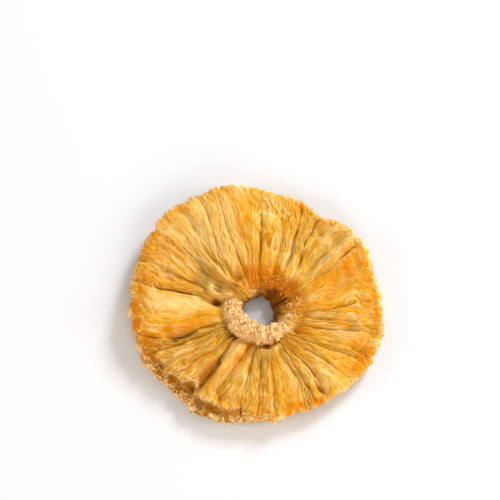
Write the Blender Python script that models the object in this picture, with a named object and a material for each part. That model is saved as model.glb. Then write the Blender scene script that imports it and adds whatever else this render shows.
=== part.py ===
"""A dried pineapple ring: a thin cored slice whose fibres have shrunk into radial pleats.

The ring lies flat with +Z up and its shown face upwards. All sizes below are in millimetres, and the
mesh is written in metres. Angles are in degrees, from +X towards +Y, about the middle of the core hole.
A share is a place out from the hole, from 0 at its wall to 1 at the outer edge.
"""

import math
from typing import NamedTuple

import bpy
import numpy as np

MM = 0.001


class Pleat(NamedTuple):
    """One fold of flesh and the crease on its clockwise side.

    The crease's angle is given beside the collar, half way out and at the edge. The crown is how high
    the fold stands, the crease how deep its side is cut, from the share start to the share end.
    """

    root: float
    middle: float
    tip: float
    crown: float
    crease: float
    start: float
    end: float


class Swell(NamedTuple):
    """A broad rise or dip of the flesh round one place, softly fading away from it."""

    angle: float
    share: float
    height: float
    spread: float
    reach: float


class Ripple(NamedTuple):
    """An uneven height: how much, and how many cells of it fit round the ring and out from the hole."""

    seed: int
    height: float
    cells_round: int
    cells_out: int


# Driving dimensions
FLESH_THICKNESS = 5.0
THINNEST_FLESH = 1.9
BASE_HEIGHT = 0.75
EDGE_ROUNDING = 0.045
OUTER_RADII = (
    37.4, 36.5, 37.8, 38.0, 36.5, 39.0, 41.2, 43.4, 44.3, 45.2, 44.5, 43.5,
    42.5, 41.7, 40.5, 39.0, 39.6, 37.4, 36.6, 35.4, 35.9, 36.2, 37.5, 37.7,
)
HOLE_RADII = (6.9, 6.5, 5.9, 5.3, 5.5, 6.2, 6.6, 6.5, 5.7, 6.5, 5.8, 6.2)

# The core's collar stands proud on one side of the hole, with a groove behind it.
COLLAR_ANGLE = 247.0
COLLAR_HEIGHT = 2.2
COLLAR_SHARE = 0.085
COLLAR_WIDTH = 0.070
GROOVE_DEPTH = 1.2
GROOVE_SHARE = 0.19
GROOVE_WIDTH = 0.045

# Across the hole the flesh slopes down into it from a low brow, and a thin lip reaches in below.
FUNNEL_DEPTH = 2.3
FUNNEL_WIDTH = 0.14
BROW_HEIGHT = 1.3
BROW_SHARE = 0.24
BROW_WIDTH = 0.14
LIP_ANGLE = 10.0
LIP_SPREAD = 70.0
LIP_REACH = 5.3
LIP_SHARE = 0.20

# Folds stand up between creases, which are sharp at the bottom and open out upwards.
PLEATS_BEGIN = 0.10
PLEATS_FULL = 0.40
FOLD_HEIGHT = 0.70
FOLD_FULLNESS = 0.6
CREASE_DEPTH = 0.85
CREASE_WIDTH = 0.65
CREASE_SOFTNESS = 0.045
ROOT_SHARE = 0.15
MIDDLE_SHARE = 0.55
TIP_SHARE = 1.0
STRAIGHT_BELOW = 0.12
NEAR_RADIUS = 7.0
RADIUS_SPAN = 32.0

# One side of the edge is torn down to a lower ledge.
LEDGE_ANGLE = 230.0
LEDGE_SPREAD = 24.0
LEDGE_SHARE = 0.905
LEDGE_DEPTH = 2.5
LEDGE_SOFTNESS = 0.014

# The underside is pleated the other way round, and lifts a little beside the hole and at the edge.
UNDER_FOLD = 0.7
UNDER_LEVEL = 0.6
UNDER_FULL = 0.4
HOLE_LIFT = 1.0
HOLE_LIFT_WIDTH = 0.10
EDGE_LIFT = 0.9
EDGE_LIFT_WIDTH = 0.08

# Unevenness of the top, the collar, the torn ledge (as a share), the underside, the hole and the
# outer edge.
FOLD_RIPPLE = Ripple(seed=11, height=0.35, cells_round=102, cells_out=5)
TOP_RIPPLE = Ripple(seed=12, height=0.35, cells_round=34, cells_out=9)
COLLAR_RIPPLE = Ripple(seed=13, height=0.5, cells_round=26, cells_out=2)
LEDGE_RIPPLE = Ripple(seed=14, height=0.030, cells_round=80, cells_out=1)
UNDER_RIPPLE = Ripple(seed=21, height=0.6, cells_round=40, cells_out=4)
HOLE_RIPPLE = Ripple(seed=31, height=0.35, cells_round=52, cells_out=1)
OUTLINE_RIPPLE = Ripple(seed=32, height=0.55, cells_round=90, cells_out=1)

# Grid of the solid: columns follow the fibres, and rows go round the section.
COLUMNS_PER_PLEAT = 5
TOP_ROWS = 14
WALL_ROWS = 3
BOTTOM_ROWS = 7

PLEATS = (
    Pleat(root=-8, middle=1.5, tip=2, crown=0.8, crease=0.8, start=0.15, end=0.95),
    Pleat(root=14, middle=17, tip=15, crown=0.35, crease=0.3, start=0.45, end=0.8),
    Pleat(root=25, middle=31, tip=34.5, crown=1.8, crease=0.7, start=0.35, end=1.0),
    Pleat(root=33, middle=43, tip=41, crown=0.4, crease=0.6, start=0.3, end=0.8),
    Pleat(root=46, middle=57, tip=61, crown=0.6, crease=1.5, start=0.35, end=0.93),
    Pleat(root=62, middle=66, tip=72, crown=0.6, crease=1.2, start=0.3, end=0.95),
    Pleat(root=76, middle=78, tip=82, crown=0.5, crease=0.3, start=0.1, end=0.5),
    Pleat(root=97, middle=93.5, tip=93, crown=0.5, crease=1.6, start=0.15, end=0.75),
    Pleat(root=110, middle=105, tip=108, crown=0.5, crease=0.3, start=0.1, end=0.9),
    Pleat(root=120, middle=114, tip=112, crown=0.5, crease=0.5, start=0.2, end=0.9),
    Pleat(root=137, middle=124, tip=118, crown=0.7, crease=0.7, start=0.1, end=0.95),
    Pleat(root=145, middle=133, tip=131, crown=0.4, crease=0.4, start=0.3, end=0.9),
    Pleat(root=152, middle=143, tip=143, crown=0.4, crease=0.25, start=0.4, end=0.8),
    Pleat(root=158, middle=151, tip=150, crown=0.4, crease=0.4, start=0.4, end=0.9),
    Pleat(root=164, middle=160, tip=156, crown=0.6, crease=1.0, start=0.4, end=1.0),
    Pleat(root=171, middle=168.5, tip=168, crown=0.7, crease=1.9, start=0.35, end=1.0),
    Pleat(root=186, middle=184, tip=185, crown=0.5, crease=0.05, start=0.3, end=0.9),
    Pleat(root=199, middle=198, tip=193, crown=0.25, crease=2.0, start=0.3, end=0.95),
    Pleat(root=207, middle=204, tip=203, crown=0.9, crease=1.1, start=0.25, end=0.9),
    Pleat(root=213, middle=212, tip=209.5, crown=0.9, crease=0.5, start=0.25, end=0.9),
    Pleat(root=218, middle=220.5, tip=216, crown=1.0, crease=0.6, start=0.2, end=0.85),
    Pleat(root=224, middle=231, tip=232, crown=1.4, crease=2.4, start=0.1, end=0.95),
    Pleat(root=251, middle=242.5, tip=243, crown=0.6, crease=0.6, start=0.2, end=0.9),
    Pleat(root=256, middle=257, tip=256.5, crown=1.0, crease=1.0, start=0.25, end=1.0),
    Pleat(root=265, middle=266, tip=265.5, crown=1.0, crease=0.3, start=0.3, end=0.9),
    Pleat(root=274, middle=276.5, tip=275, crown=0.5, crease=1.0, start=0.2, end=0.9),
    Pleat(root=282, middle=290, tip=291, crown=0.8, crease=0.4, start=0.3, end=0.9),
    Pleat(root=289, middle=297, tip=297, crown=0.6, crease=0.3, start=0.3, end=0.9),
    Pleat(root=296, middle=304, tip=303, crown=0.9, crease=1.2, start=0.35, end=0.9),
    Pleat(root=304, middle=316, tip=318.5, crown=0.7, crease=0.5, start=0.2, end=0.9),
    Pleat(root=312, middle=325, tip=327, crown=0.6, crease=0.4, start=0.2, end=0.9),
    Pleat(root=322, middle=333, tip=335, crown=0.5, crease=0.3, start=0.3, end=0.9),
    Pleat(root=334, middle=341.5, tip=345.5, crown=1.0, crease=0.6, start=0.3, end=0.95),
    Pleat(root=343, middle=350, tip=353, crown=0.8, crease=0.4, start=0.3, end=0.9),
)

# How far each crease's course sways, in degrees. The nudge keeps a pleat's number inside its own cell.
CREASE_SWAY = Ripple(seed=15, height=1.7, cells_round=len(PLEATS), cells_out=5)
CELL_NUDGE = 0.001

# How the drying flesh has warped: a lifted corner, a raised back and a drooping front.
WARPS = (
    Swell(angle=38, share=1.0, height=3.2, spread=22, reach=0.50),
    Swell(angle=118, share=1.0, height=2.4, spread=34, reach=0.55),
    Swell(angle=184, share=0.8, height=1.2, spread=18, reach=0.40),
    Swell(angle=182, share=0.58, height=1.2, spread=9, reach=0.38),
    Swell(angle=250, share=1.0, height=-0.5, spread=26, reach=0.30),
    Swell(angle=300, share=0.45, height=0.7, spread=40, reach=0.30),
)

# Pits and pockets in the top, and the lips that stand beside them.
HOLLOWS = (
    Swell(angle=172, share=0.24, height=-3.8, spread=5.5, reach=0.050),
    Swell(angle=222, share=0.20, height=-1.4, spread=6.0, reach=0.060),
    Swell(angle=129, share=0.19, height=-1.0, spread=9.0, reach=0.045),
    Swell(angle=274, share=0.19, height=-1.2, spread=4.0, reach=0.040),
    Swell(angle=322, share=0.23, height=-1.2, spread=5.0, reach=0.055),
    Swell(angle=200, share=0.68, height=-1.8, spread=4.5, reach=0.170),
    Swell(angle=230, share=0.60, height=-0.9, spread=3.2, reach=0.250),
    Swell(angle=245, share=0.80, height=-1.4, spread=2.4, reach=0.050),
    Swell(angle=303, share=0.87, height=-1.5, spread=2.2, reach=0.060),
    Swell(angle=150, share=0.45, height=-0.8, spread=9.0, reach=0.120),
    Swell(angle=85, share=0.46, height=-0.5, spread=8.0, reach=0.050),
    Swell(angle=24, share=0.70, height=-1.3, spread=7.0, reach=0.250),
    Swell(angle=273, share=0.28, height=0.9, spread=7.0, reach=0.035),
    Swell(angle=148, share=0.21, height=0.7, spread=8.0, reach=0.035),
    Swell(angle=217, share=0.84, height=0.5, spread=8.0, reach=0.050),
    Swell(angle=312, share=0.82, height=0.6, spread=5.0, reach=0.100),
)

# Where the torn line bends inwards from the ledge's own share.
LEDGE_BAYS = (
    Swell(angle=228.5, share=0.85, height=-0.12, spread=3.5, reach=1.0),
    Swell(angle=198, share=0.85, height=-0.09, spread=6.0, reach=1.0),
    Swell(angle=215, share=0.85, height=0.02, spread=4.0, reach=1.0),
)

# The flesh rests on three broad flat spots, pressed level by the surface it dried on.
FEET = (
    Swell(angle=75, share=0.62, height=-2.0, spread=11, reach=0.20),
    Swell(angle=196, share=0.66, height=-2.2, spread=10, reach=0.20),
    Swell(angle=312, share=0.66, height=-2.0, spread=11, reach=0.20),
)


def uneven(ripple, turn, share):
    """Smooth noise of a ripple's height, seamless round the ring; turn and share run from 0 to 1."""
    draw = np.random.default_rng(ripple.seed)
    lattice = draw.uniform(-1.0, 1.0, (ripple.cells_out + 2, ripple.cells_round))
    across = (turn % 1.0) * ripple.cells_round
    along = np.clip(share, 0.0, 1.0) * ripple.cells_out
    column = np.floor(across).astype(int)
    row = np.floor(along).astype(int)
    across = across - column
    along = along - row
    across = across * across * (3 - 2 * across)
    along = along * along * (3 - 2 * along)
    column %= ripple.cells_round
    following = (column + 1) % ripple.cells_round
    near = lattice[row, column] * (1 - across) + lattice[row, following] * across
    far = lattice[row + 1, column] * (1 - across) + lattice[row + 1, following] * across
    return ripple.height * (near * (1 - along) + far * along)


def round_the_ring(values, angle):
    """Smooth periodic interpolation of evenly spaced values, by angle in degrees."""
    values = np.asarray(values, float)
    count = len(values)
    place = (angle % 360.0) / 360.0 * count
    index = np.floor(place).astype(int) % count
    part = place - np.floor(place)
    before, here = values[index - 1], values[index]
    after, later = values[(index + 1) % count], values[(index + 2) % count]
    slope_here, slope_after = (after - before) / 2, (later - here) / 2
    change = after - here
    return (
        here
        + slope_here * part
        + (3 * change - 2 * slope_here - slope_after) * part**2
        + (slope_here + slope_after - 2 * change) * part**3
    )


def bell(distance, width):
    """1 at no distance, falling smoothly to 0 past the width."""
    return np.exp(-((distance / width) ** 2))


def step_up(value, middle, softness):
    """A smooth step from 0 to 1 about the middle."""
    return 1 / (1 + np.exp(-(value - middle) / softness))


def turned_from(angle, middle):
    """The signed angle from middle, between -180 and 180 degrees."""
    return (angle - middle + 180.0) % 360.0 - 180.0


def total_swell(swells, angle, share):
    """The summed height of broad rises and dips."""
    total = np.zeros_like(angle)
    for swell in swells:
        around = bell(turned_from(angle, swell.angle), swell.spread)
        total += swell.height * around * bell(share - swell.share, swell.reach)
    return total


def crease_angle(index, share):
    """The angle of a pleat's crease: one curve through its three given places, which sways a little."""
    out = np.maximum(share, STRAIGHT_BELOW)
    from_root, from_middle, from_tip = out - ROOT_SHARE, out - MIDDLE_SHARE, out - TIP_SHARE
    near_span, whole_span, far_span = (
        MIDDLE_SHARE - ROOT_SHARE,
        TIP_SHARE - ROOT_SHARE,
        TIP_SHARE - MIDDLE_SHARE,
    )
    roots = np.array([p.root for p in PLEATS], float)[index]
    middles = np.array([p.middle for p in PLEATS], float)[index]
    tips = np.array([p.tip for p in PLEATS], float)[index]
    angle = roots * from_middle * from_tip / (near_span * whole_span)
    angle -= middles * from_root * from_tip / (near_span * far_span)
    angle += tips * from_root * from_middle / (whole_span * far_span)
    return angle + uneven(CREASE_SWAY, (index + CELL_NUDGE) / len(PLEATS), share)


def fibre_angle(turn, share):
    """Follows a fibre out from the hole.

    Returns its angle at each share, its pleat's number, its place across the pleat from 0 to 1, and
    the pleat's width there.
    """
    count = len(PLEATS)
    place = turn * count
    index = np.floor(place).astype(int) % count
    across = place - np.floor(place)
    near = crease_angle(index, share)
    turned = (crease_angle((index + 1) % count, share) - near) % 360.0
    width = np.radians(turned) * (NEAR_RADIUS + RADIUS_SPAN * share)
    return near + across * turned, index, across, width


def rounded_section():
    """The section as rows from mid outer wall, over the top, down the hole and back below.

    Each row is its share of the way out and its level, from -1 below to 1 on top.
    """
    top = [(1 - row / TOP_ROWS, 1.0) for row in range(TOP_ROWS + 1)]
    bottom = [(row / BOTTOM_ROWS, -1.0) for row in range(BOTTOM_ROWS + 1)]
    narrow = 1 - 2 * EDGE_ROUNDING
    top = [(EDGE_ROUNDING + share * narrow, level) for share, level in top]
    bottom = [(EDGE_ROUNDING + share * narrow, level) for share, level in bottom]
    wall = [math.pi * (step / (WALL_ROWS + 1) - 0.5) for step in range(1, WALL_ROWS + 1)]
    outer = [(1 - EDGE_ROUNDING * (1 - math.cos(a)), math.sin(a)) for a in wall]
    inner = [(EDGE_ROUNDING * (1 - math.cos(a)), -math.sin(a)) for a in wall]
    middle = WALL_ROWS // 2
    return outer[middle:] + top + inner + bottom + outer[:middle]


def crease_reach(index, share):
    """1 along the stretch where a crease is open, falling to 0 beyond its two ends."""
    start = np.array([p.start for p in PLEATS])[index]
    end = np.array([p.end for p in PLEATS])[index]
    return step_up(share, start, CREASE_SOFTNESS) * (1 - step_up(share, end, CREASE_SOFTNESS))


def collar_side(angle):
    """1 where the core's collar stands proud, falling to 0 on the far side of the hole."""
    return 0.5 + 0.5 * np.cos(np.radians(turned_from(angle, COLLAR_ANGLE)))


def creasing(index, across, width, share):
    """The depth of the creases on both sides of a pleat."""
    creases = np.array([p.crease for p in PLEATS])
    following = (index + 1) % len(creases)
    near = np.exp(-across * width / CREASE_WIDTH)
    far = np.exp(-(1 - across) * width / CREASE_WIDTH)
    depth = creases[index] * crease_reach(index, share) * near
    return depth + creases[following] * crease_reach(following, share) * far


def folds(turn, share, index, across, width):
    """The height of the folds over the mean top."""
    crowns = np.array([p.crown for p in PLEATS])
    grown = np.clip((share - PLEATS_BEGIN) / (PLEATS_FULL - PLEATS_BEGIN), 0, 1)
    arch = np.clip(4 * across * (1 - across), 0, 1) ** FOLD_FULLNESS
    height = FOLD_HEIGHT * grown * crowns[index] * (arch - 0.5)
    height -= CREASE_DEPTH * creasing(index, across, width, share)
    height += uneven(FOLD_RIPPLE, turn, share) * grown
    return height + uneven(TOP_RIPPLE, turn, share)


def core_rim(turn, angle, share):
    """The height of the collar, its groove, and the slope and brow across the hole from it."""
    side = collar_side(angle)
    roll = COLLAR_HEIGHT + uneven(COLLAR_RIPPLE, turn, share)
    height = side * roll * bell(share - COLLAR_SHARE, COLLAR_WIDTH)
    height -= side * GROOVE_DEPTH * bell(share - GROOVE_SHARE, GROOVE_WIDTH)
    height -= (1 - side) * FUNNEL_DEPTH * bell(share, FUNNEL_WIDTH)
    return height + (1 - side) * BROW_HEIGHT * bell(share - BROW_SHARE, BROW_WIDTH)


def top_height(turn, angle, share, index, across, width):
    """The height of the upper face before warping."""
    height = folds(turn, share, index, across, width) + core_rim(turn, angle, share)
    height += total_swell(HOLLOWS, angle, share)
    torn = LEDGE_SHARE + uneven(LEDGE_RIPPLE, turn, share) + total_swell(LEDGE_BAYS, angle, share)
    near_ledge = bell(turned_from(angle, LEDGE_ANGLE), LEDGE_SPREAD)
    height -= LEDGE_DEPTH * step_up(share, torn, LEDGE_SOFTNESS) * near_ledge
    return FLESH_THICKNESS + height


def bottom_height(turn, angle, share, across):
    """The height of the underside before warping."""
    arch = np.sqrt(np.clip(4 * across * (1 - across), 0, 1))
    height = BASE_HEIGHT + UNDER_FOLD * (UNDER_LEVEL - arch) * np.clip(share / UNDER_FULL, 0, 1)
    height += uneven(UNDER_RIPPLE, turn, share)
    height += HOLE_LIFT * bell(share, HOLE_LIFT_WIDTH) + EDGE_LIFT * bell(share - 1, EDGE_LIFT_WIDTH)
    return height + total_swell(FEET, angle, share)


def skin_radius(turn, angle, share, level):
    """The distance from the middle of the hole, which the thin lip narrows at its lower side."""
    low = (1 - level) / 2
    past_lip = np.clip(share / LIP_SHARE, 0, 1)
    fading = 1 - past_lip * past_lip * (3 - 2 * past_lip)
    inner = round_the_ring(HOLE_RADII, angle) + uneven(HOLE_RIPPLE, turn, share)
    inner -= LIP_REACH * low * fading * bell(turned_from(angle, LIP_ANGLE), LIP_SPREAD)
    outer = round_the_ring(OUTER_RADII, angle) + uneven(OUTLINE_RIPPLE, turn, share)
    return inner + (outer - inner) * share


def surface_point(turn, share, level):
    """The points of the ring's skin, for arrays of turn, share and level."""
    angle, index, across, width = fibre_angle(turn, share)
    warp = total_swell(WARPS, angle, share)
    lowest = np.maximum(bottom_height(turn, angle, share, across) + warp, 0.0)
    highest = top_height(turn, angle, share, index, across, width) + warp
    highest = np.maximum(highest, lowest + THINNEST_FLESH)
    height = lowest + (highest - lowest) * (level + 1) / 2
    radius = skin_radius(turn, angle, share, level)
    turned = np.radians(angle)
    return np.stack([radius * np.cos(turned), radius * np.sin(turned), height], axis=-1)


def shape_torus(torus, ring_radius):
    """Moves a torus's points to the ring's skin; its own two angles say where each point belongs."""
    count = len(torus.data.vertices)
    points = np.empty(count * 3)
    torus.data.vertices.foreach_get("co", points)
    x, y, z = points.reshape(-1, 3).T
    columns = len(PLEATS) * COLUMNS_PER_PLEAT
    section = np.array(rounded_section())
    turn = np.round(np.arctan2(y, x) / (2 * math.pi) * columns) % columns / columns
    tube_turn = np.arctan2(z, np.hypot(x, y) - ring_radius) / (2 * math.pi)
    row = np.round(tube_turn * len(section)).astype(int) % len(section)
    skin = surface_point(turn, section[row, 0], section[row, 1])
    middle = (skin.min(axis=0) + skin.max(axis=0)) / 2
    middle[2] = skin[:, 2].min()
    torus.data.vertices.foreach_set("co", ((skin - middle) * MM).ravel())
    torus.data.update()


def dried_flesh():
    """The golden, slightly tacky finish of dried pineapple."""
    material = bpy.data.materials.new("dried_pineapple_flesh")
    material.use_nodes = True
    shader = material.node_tree.nodes["Principled BSDF"]
    shader.inputs["Base Color"].default_value = (0.79, 0.42, 0.075, 1.0)
    shader.inputs["Roughness"].default_value = 0.55
    shader.inputs["Metallic"].default_value = 0.0
    return material


def build_ring(collection):
    """Makes the one solid of the ring from a torus."""
    ring_radius = 1.0
    bpy.ops.mesh.primitive_torus_add(
        major_segments=len(PLEATS) * COLUMNS_PER_PLEAT,
        minor_segments=len(rounded_section()),
        major_radius=ring_radius,
        minor_radius=ring_radius / 4,
    )
    ring = bpy.context.object
    ring.name = "pineapple_ring"
    shape_torus(ring, ring_radius)
    ring.data.materials.append(dried_flesh())
    ring.data.shade_smooth()
    for owner in list(ring.users_collection):
        owner.objects.unlink(ring)
    collection.objects.link(ring)
    return ring


def main():
    """Clears the scene and builds the ring in a collection of its own."""
    for old in list(bpy.data.objects):
        bpy.data.objects.remove(old, do_unlink=True)
    collection = bpy.data.collections.new("Dried pineapple ring")
    bpy.context.scene.collection.children.link(collection)
    build_ring(collection)


main()
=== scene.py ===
"""A dried pineapple ring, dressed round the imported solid.

The flesh is one closed skin laid on a grid that follows the fibres, from the core hole to the outer
edge. The collar, its grains, the sugar grains, the frayed tips and the crumbs are meshes that sit on it.
Shape sizes are in millimetres and angles in degrees, about the middle of the core hole. A turn is the
place round the ring where a fibre starts, from 0 to 1. A share is how far out a place lies, from 0 at
the hole to 1 at the edge.
"""

import logging
import math
from dataclasses import dataclass, field
from enum import Enum
from itertools import combinations
from typing import Any, NamedTuple

import bpy
import numpy as np
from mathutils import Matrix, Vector

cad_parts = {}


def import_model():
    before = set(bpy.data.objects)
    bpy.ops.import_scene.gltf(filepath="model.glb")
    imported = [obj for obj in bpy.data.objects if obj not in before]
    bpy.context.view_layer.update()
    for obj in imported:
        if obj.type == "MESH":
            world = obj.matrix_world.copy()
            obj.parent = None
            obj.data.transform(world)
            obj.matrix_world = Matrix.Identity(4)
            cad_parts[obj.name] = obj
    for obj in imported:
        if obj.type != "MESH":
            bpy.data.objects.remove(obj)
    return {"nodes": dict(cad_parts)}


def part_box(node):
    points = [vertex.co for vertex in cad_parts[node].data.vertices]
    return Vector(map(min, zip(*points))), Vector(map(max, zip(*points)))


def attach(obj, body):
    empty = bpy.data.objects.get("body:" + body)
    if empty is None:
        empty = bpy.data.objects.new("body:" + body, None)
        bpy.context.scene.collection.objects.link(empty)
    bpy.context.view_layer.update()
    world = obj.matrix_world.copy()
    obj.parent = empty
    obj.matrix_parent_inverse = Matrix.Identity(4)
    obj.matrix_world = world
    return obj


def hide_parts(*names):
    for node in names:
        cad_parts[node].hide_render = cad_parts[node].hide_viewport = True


MM = 0.001
NODE = "pineapple_ring"
BODY = "root"
LOG = logging.getLogger("dried_pineapple")

Array = np.ndarray
Socket = bpy.types.NodeSocket
Colour = tuple[float, float, float]
# A span is two limits, and a scatter a mean and how far values lie about it.
Span = tuple[float, float]
Scatter = tuple[float, float]
TINY = 1e-12


def bell(distance: Array, width: float) -> Array:
    """Returns 1 at no distance, falling smoothly to 0 past the width."""
    return np.exp(-((distance / width) ** 2))


def rise(value: Array, low: float, high: float) -> Array:
    """Returns a smooth step from 0 at low to 1 at high."""
    part = np.clip((value - low) / (high - low), 0.0, 1.0)
    return part * part * (3 - 2 * part)


def turned_from(angle: Array, middle: float) -> Array:
    """Returns the signed angle from middle, between -180 and 180 degrees."""
    return (angle - middle + 180.0) % 360.0 - 180.0


def beside(angle: Array, middle: float, spread: float) -> Array:
    """Returns 1 at the middle angle, falling smoothly to 0 past the spread on both sides."""
    return bell(turned_from(angle, middle), spread)


def across_plan(angle: Array, radius: Array) -> tuple[Array, Array]:
    """Returns the x and y of places given by angle and radius."""
    return radius * np.cos(np.radians(angle)), radius * np.sin(np.radians(angle))


def faded_ends(along: Array, power: int) -> Array:
    """Returns 1 over most of a strip, falling to 0 at both ends; a higher power falls later."""
    return np.sqrt(np.clip(1 - (2 * along - 1) ** power, 0, 1))


def lattice_noise(
    seed: int, turn: Array, along: Array, cells_round: int, cells_along: int, closed: bool = False
) -> Array:
    """Smooth noise that has no seam round the ring.

    Args:
        seed: The lattice's random seed.
        turn: The place round the ring, from 0 to 1.
        along: The place the other way, from 0 to 1.
        cells_round: Lattice cells once round the ring.
        cells_along: Lattice cells the other way.
        closed: Whether the other way also joins up with itself.

    Returns:
        Values from -1 to 1, shaped like turn.
    """
    lattice = np.random.default_rng(seed).uniform(-1.0, 1.0, (cells_along + 2, cells_round))
    if closed:
        lattice[cells_along] = lattice[0]
        along = along % 1.0
    across = (turn % 1.0) * cells_round
    up = np.clip(along, 0.0, 1.0) * cells_along
    column = np.floor(across).astype(int)
    row = np.floor(up).astype(int)
    across = across - column
    up = up - row
    across = across * across * (3 - 2 * across)
    up = up * up * (3 - 2 * up)
    column %= cells_round
    following = (column + 1) % cells_round
    near = lattice[row, column] * (1 - across) + lattice[row, following] * across
    far = lattice[row + 1, column] * (1 - across) + lattice[row + 1, following] * across
    return near * (1 - up) + far * up


class Ripple(NamedTuple):
    """Smooth noise of one height, with its number of cells round the ring and the other way."""

    seed: int
    height: float
    cells_round: int
    cells_along: int
    closed: bool = False

    def over(self, turn: Array, along: Array) -> Array:
        """Returns the ripple, from minus its height to plus its height."""
        noise = lattice_noise(self.seed, turn, along, self.cells_round, self.cells_along, self.closed)
        return self.height * noise


def round_the_ring(values: tuple[float, ...], angle: Array) -> Array:
    """Joins evenly spaced values by a smooth curve that closes round the ring.

    Args:
        values: The values, the first of them at angle 0.
        angle: The angles to read.

    Returns:
        The curve's value at each angle.
    """
    given = np.asarray(values, float)
    count = len(given)
    place = (angle % 360.0) / 360.0 * count
    index = np.floor(place).astype(int) % count
    part = place - np.floor(place)
    before, here = given[index - 1], given[index]
    after, later = given[(index + 1) % count], given[(index + 2) % count]
    slope_here, slope_after = (after - before) / 2, (later - here) / 2
    change = after - here
    return (
        here
        + slope_here * part
        + (3 * change - 2 * slope_here - slope_after) * part**2
        + (slope_here + slope_after - 2 * change) * part**3
    )


class Op(Enum):
    """The arithmetic that a Wire can do, by its Math node's name."""

    ADD = "ADD"
    SUBTRACT = "SUBTRACT"
    MULTIPLY = "MULTIPLY"
    POWER = "POWER"


class Speckle(NamedTuple):
    """Noise in a finish: its scale, its detail and how rough it is."""

    scale: float
    detail: float
    rough: float


class Scattering(NamedTuple):
    """How light spreads under a surface: its part, its reach by colour and its size in metres."""

    part: float
    reach: Colour
    size: float


@dataclass
class Wire:
    """A shader socket that takes part in arithmetic; each operation adds one Math node."""

    book: "NodeBook"
    socket: Socket

    def _join(self, op: Op, first: Any, second: Any, clamp: bool = False) -> "Wire":
        """Adds a Math node.

        Args:
            op: What it does.
            first: The first value or wire.
            second: The second value or wire.
            clamp: Whether the result is kept between 0 and 1.

        Returns:
            The result.
        """
        node = self.book.node(
            "ShaderNodeMath", {"operation": op.value, "use_clamp": clamp}, {0: first, 1: second}
        )
        return Wire(self.book, node.outputs[0])

    def __add__(self, other: Any) -> "Wire":
        """Returns the sum."""
        return self._join(Op.ADD, self, other)

    __radd__ = __add__

    def __sub__(self, other: Any) -> "Wire":
        """Returns the difference."""
        return self._join(Op.SUBTRACT, self, other)

    def __rsub__(self, other: Any) -> "Wire":
        """Returns the difference from a plain number."""
        return self._join(Op.SUBTRACT, other, self)

    def __mul__(self, other: Any) -> "Wire":
        """Returns the product."""
        return self._join(Op.MULTIPLY, self, other)

    __rmul__ = __mul__

    def __pow__(self, other: Any) -> "Wire":
        """Returns the power."""
        return self._join(Op.POWER, self, other)

    def __rpow__(self, other: Any) -> "Wire":
        """Returns a plain number to the power of this one."""
        return self._join(Op.POWER, other, self)

    def clamped(self) -> "Wire":
        """Returns the value kept between 0 and 1."""
        return self._join(Op.ADD, self, 0.0, clamp=True)


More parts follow.
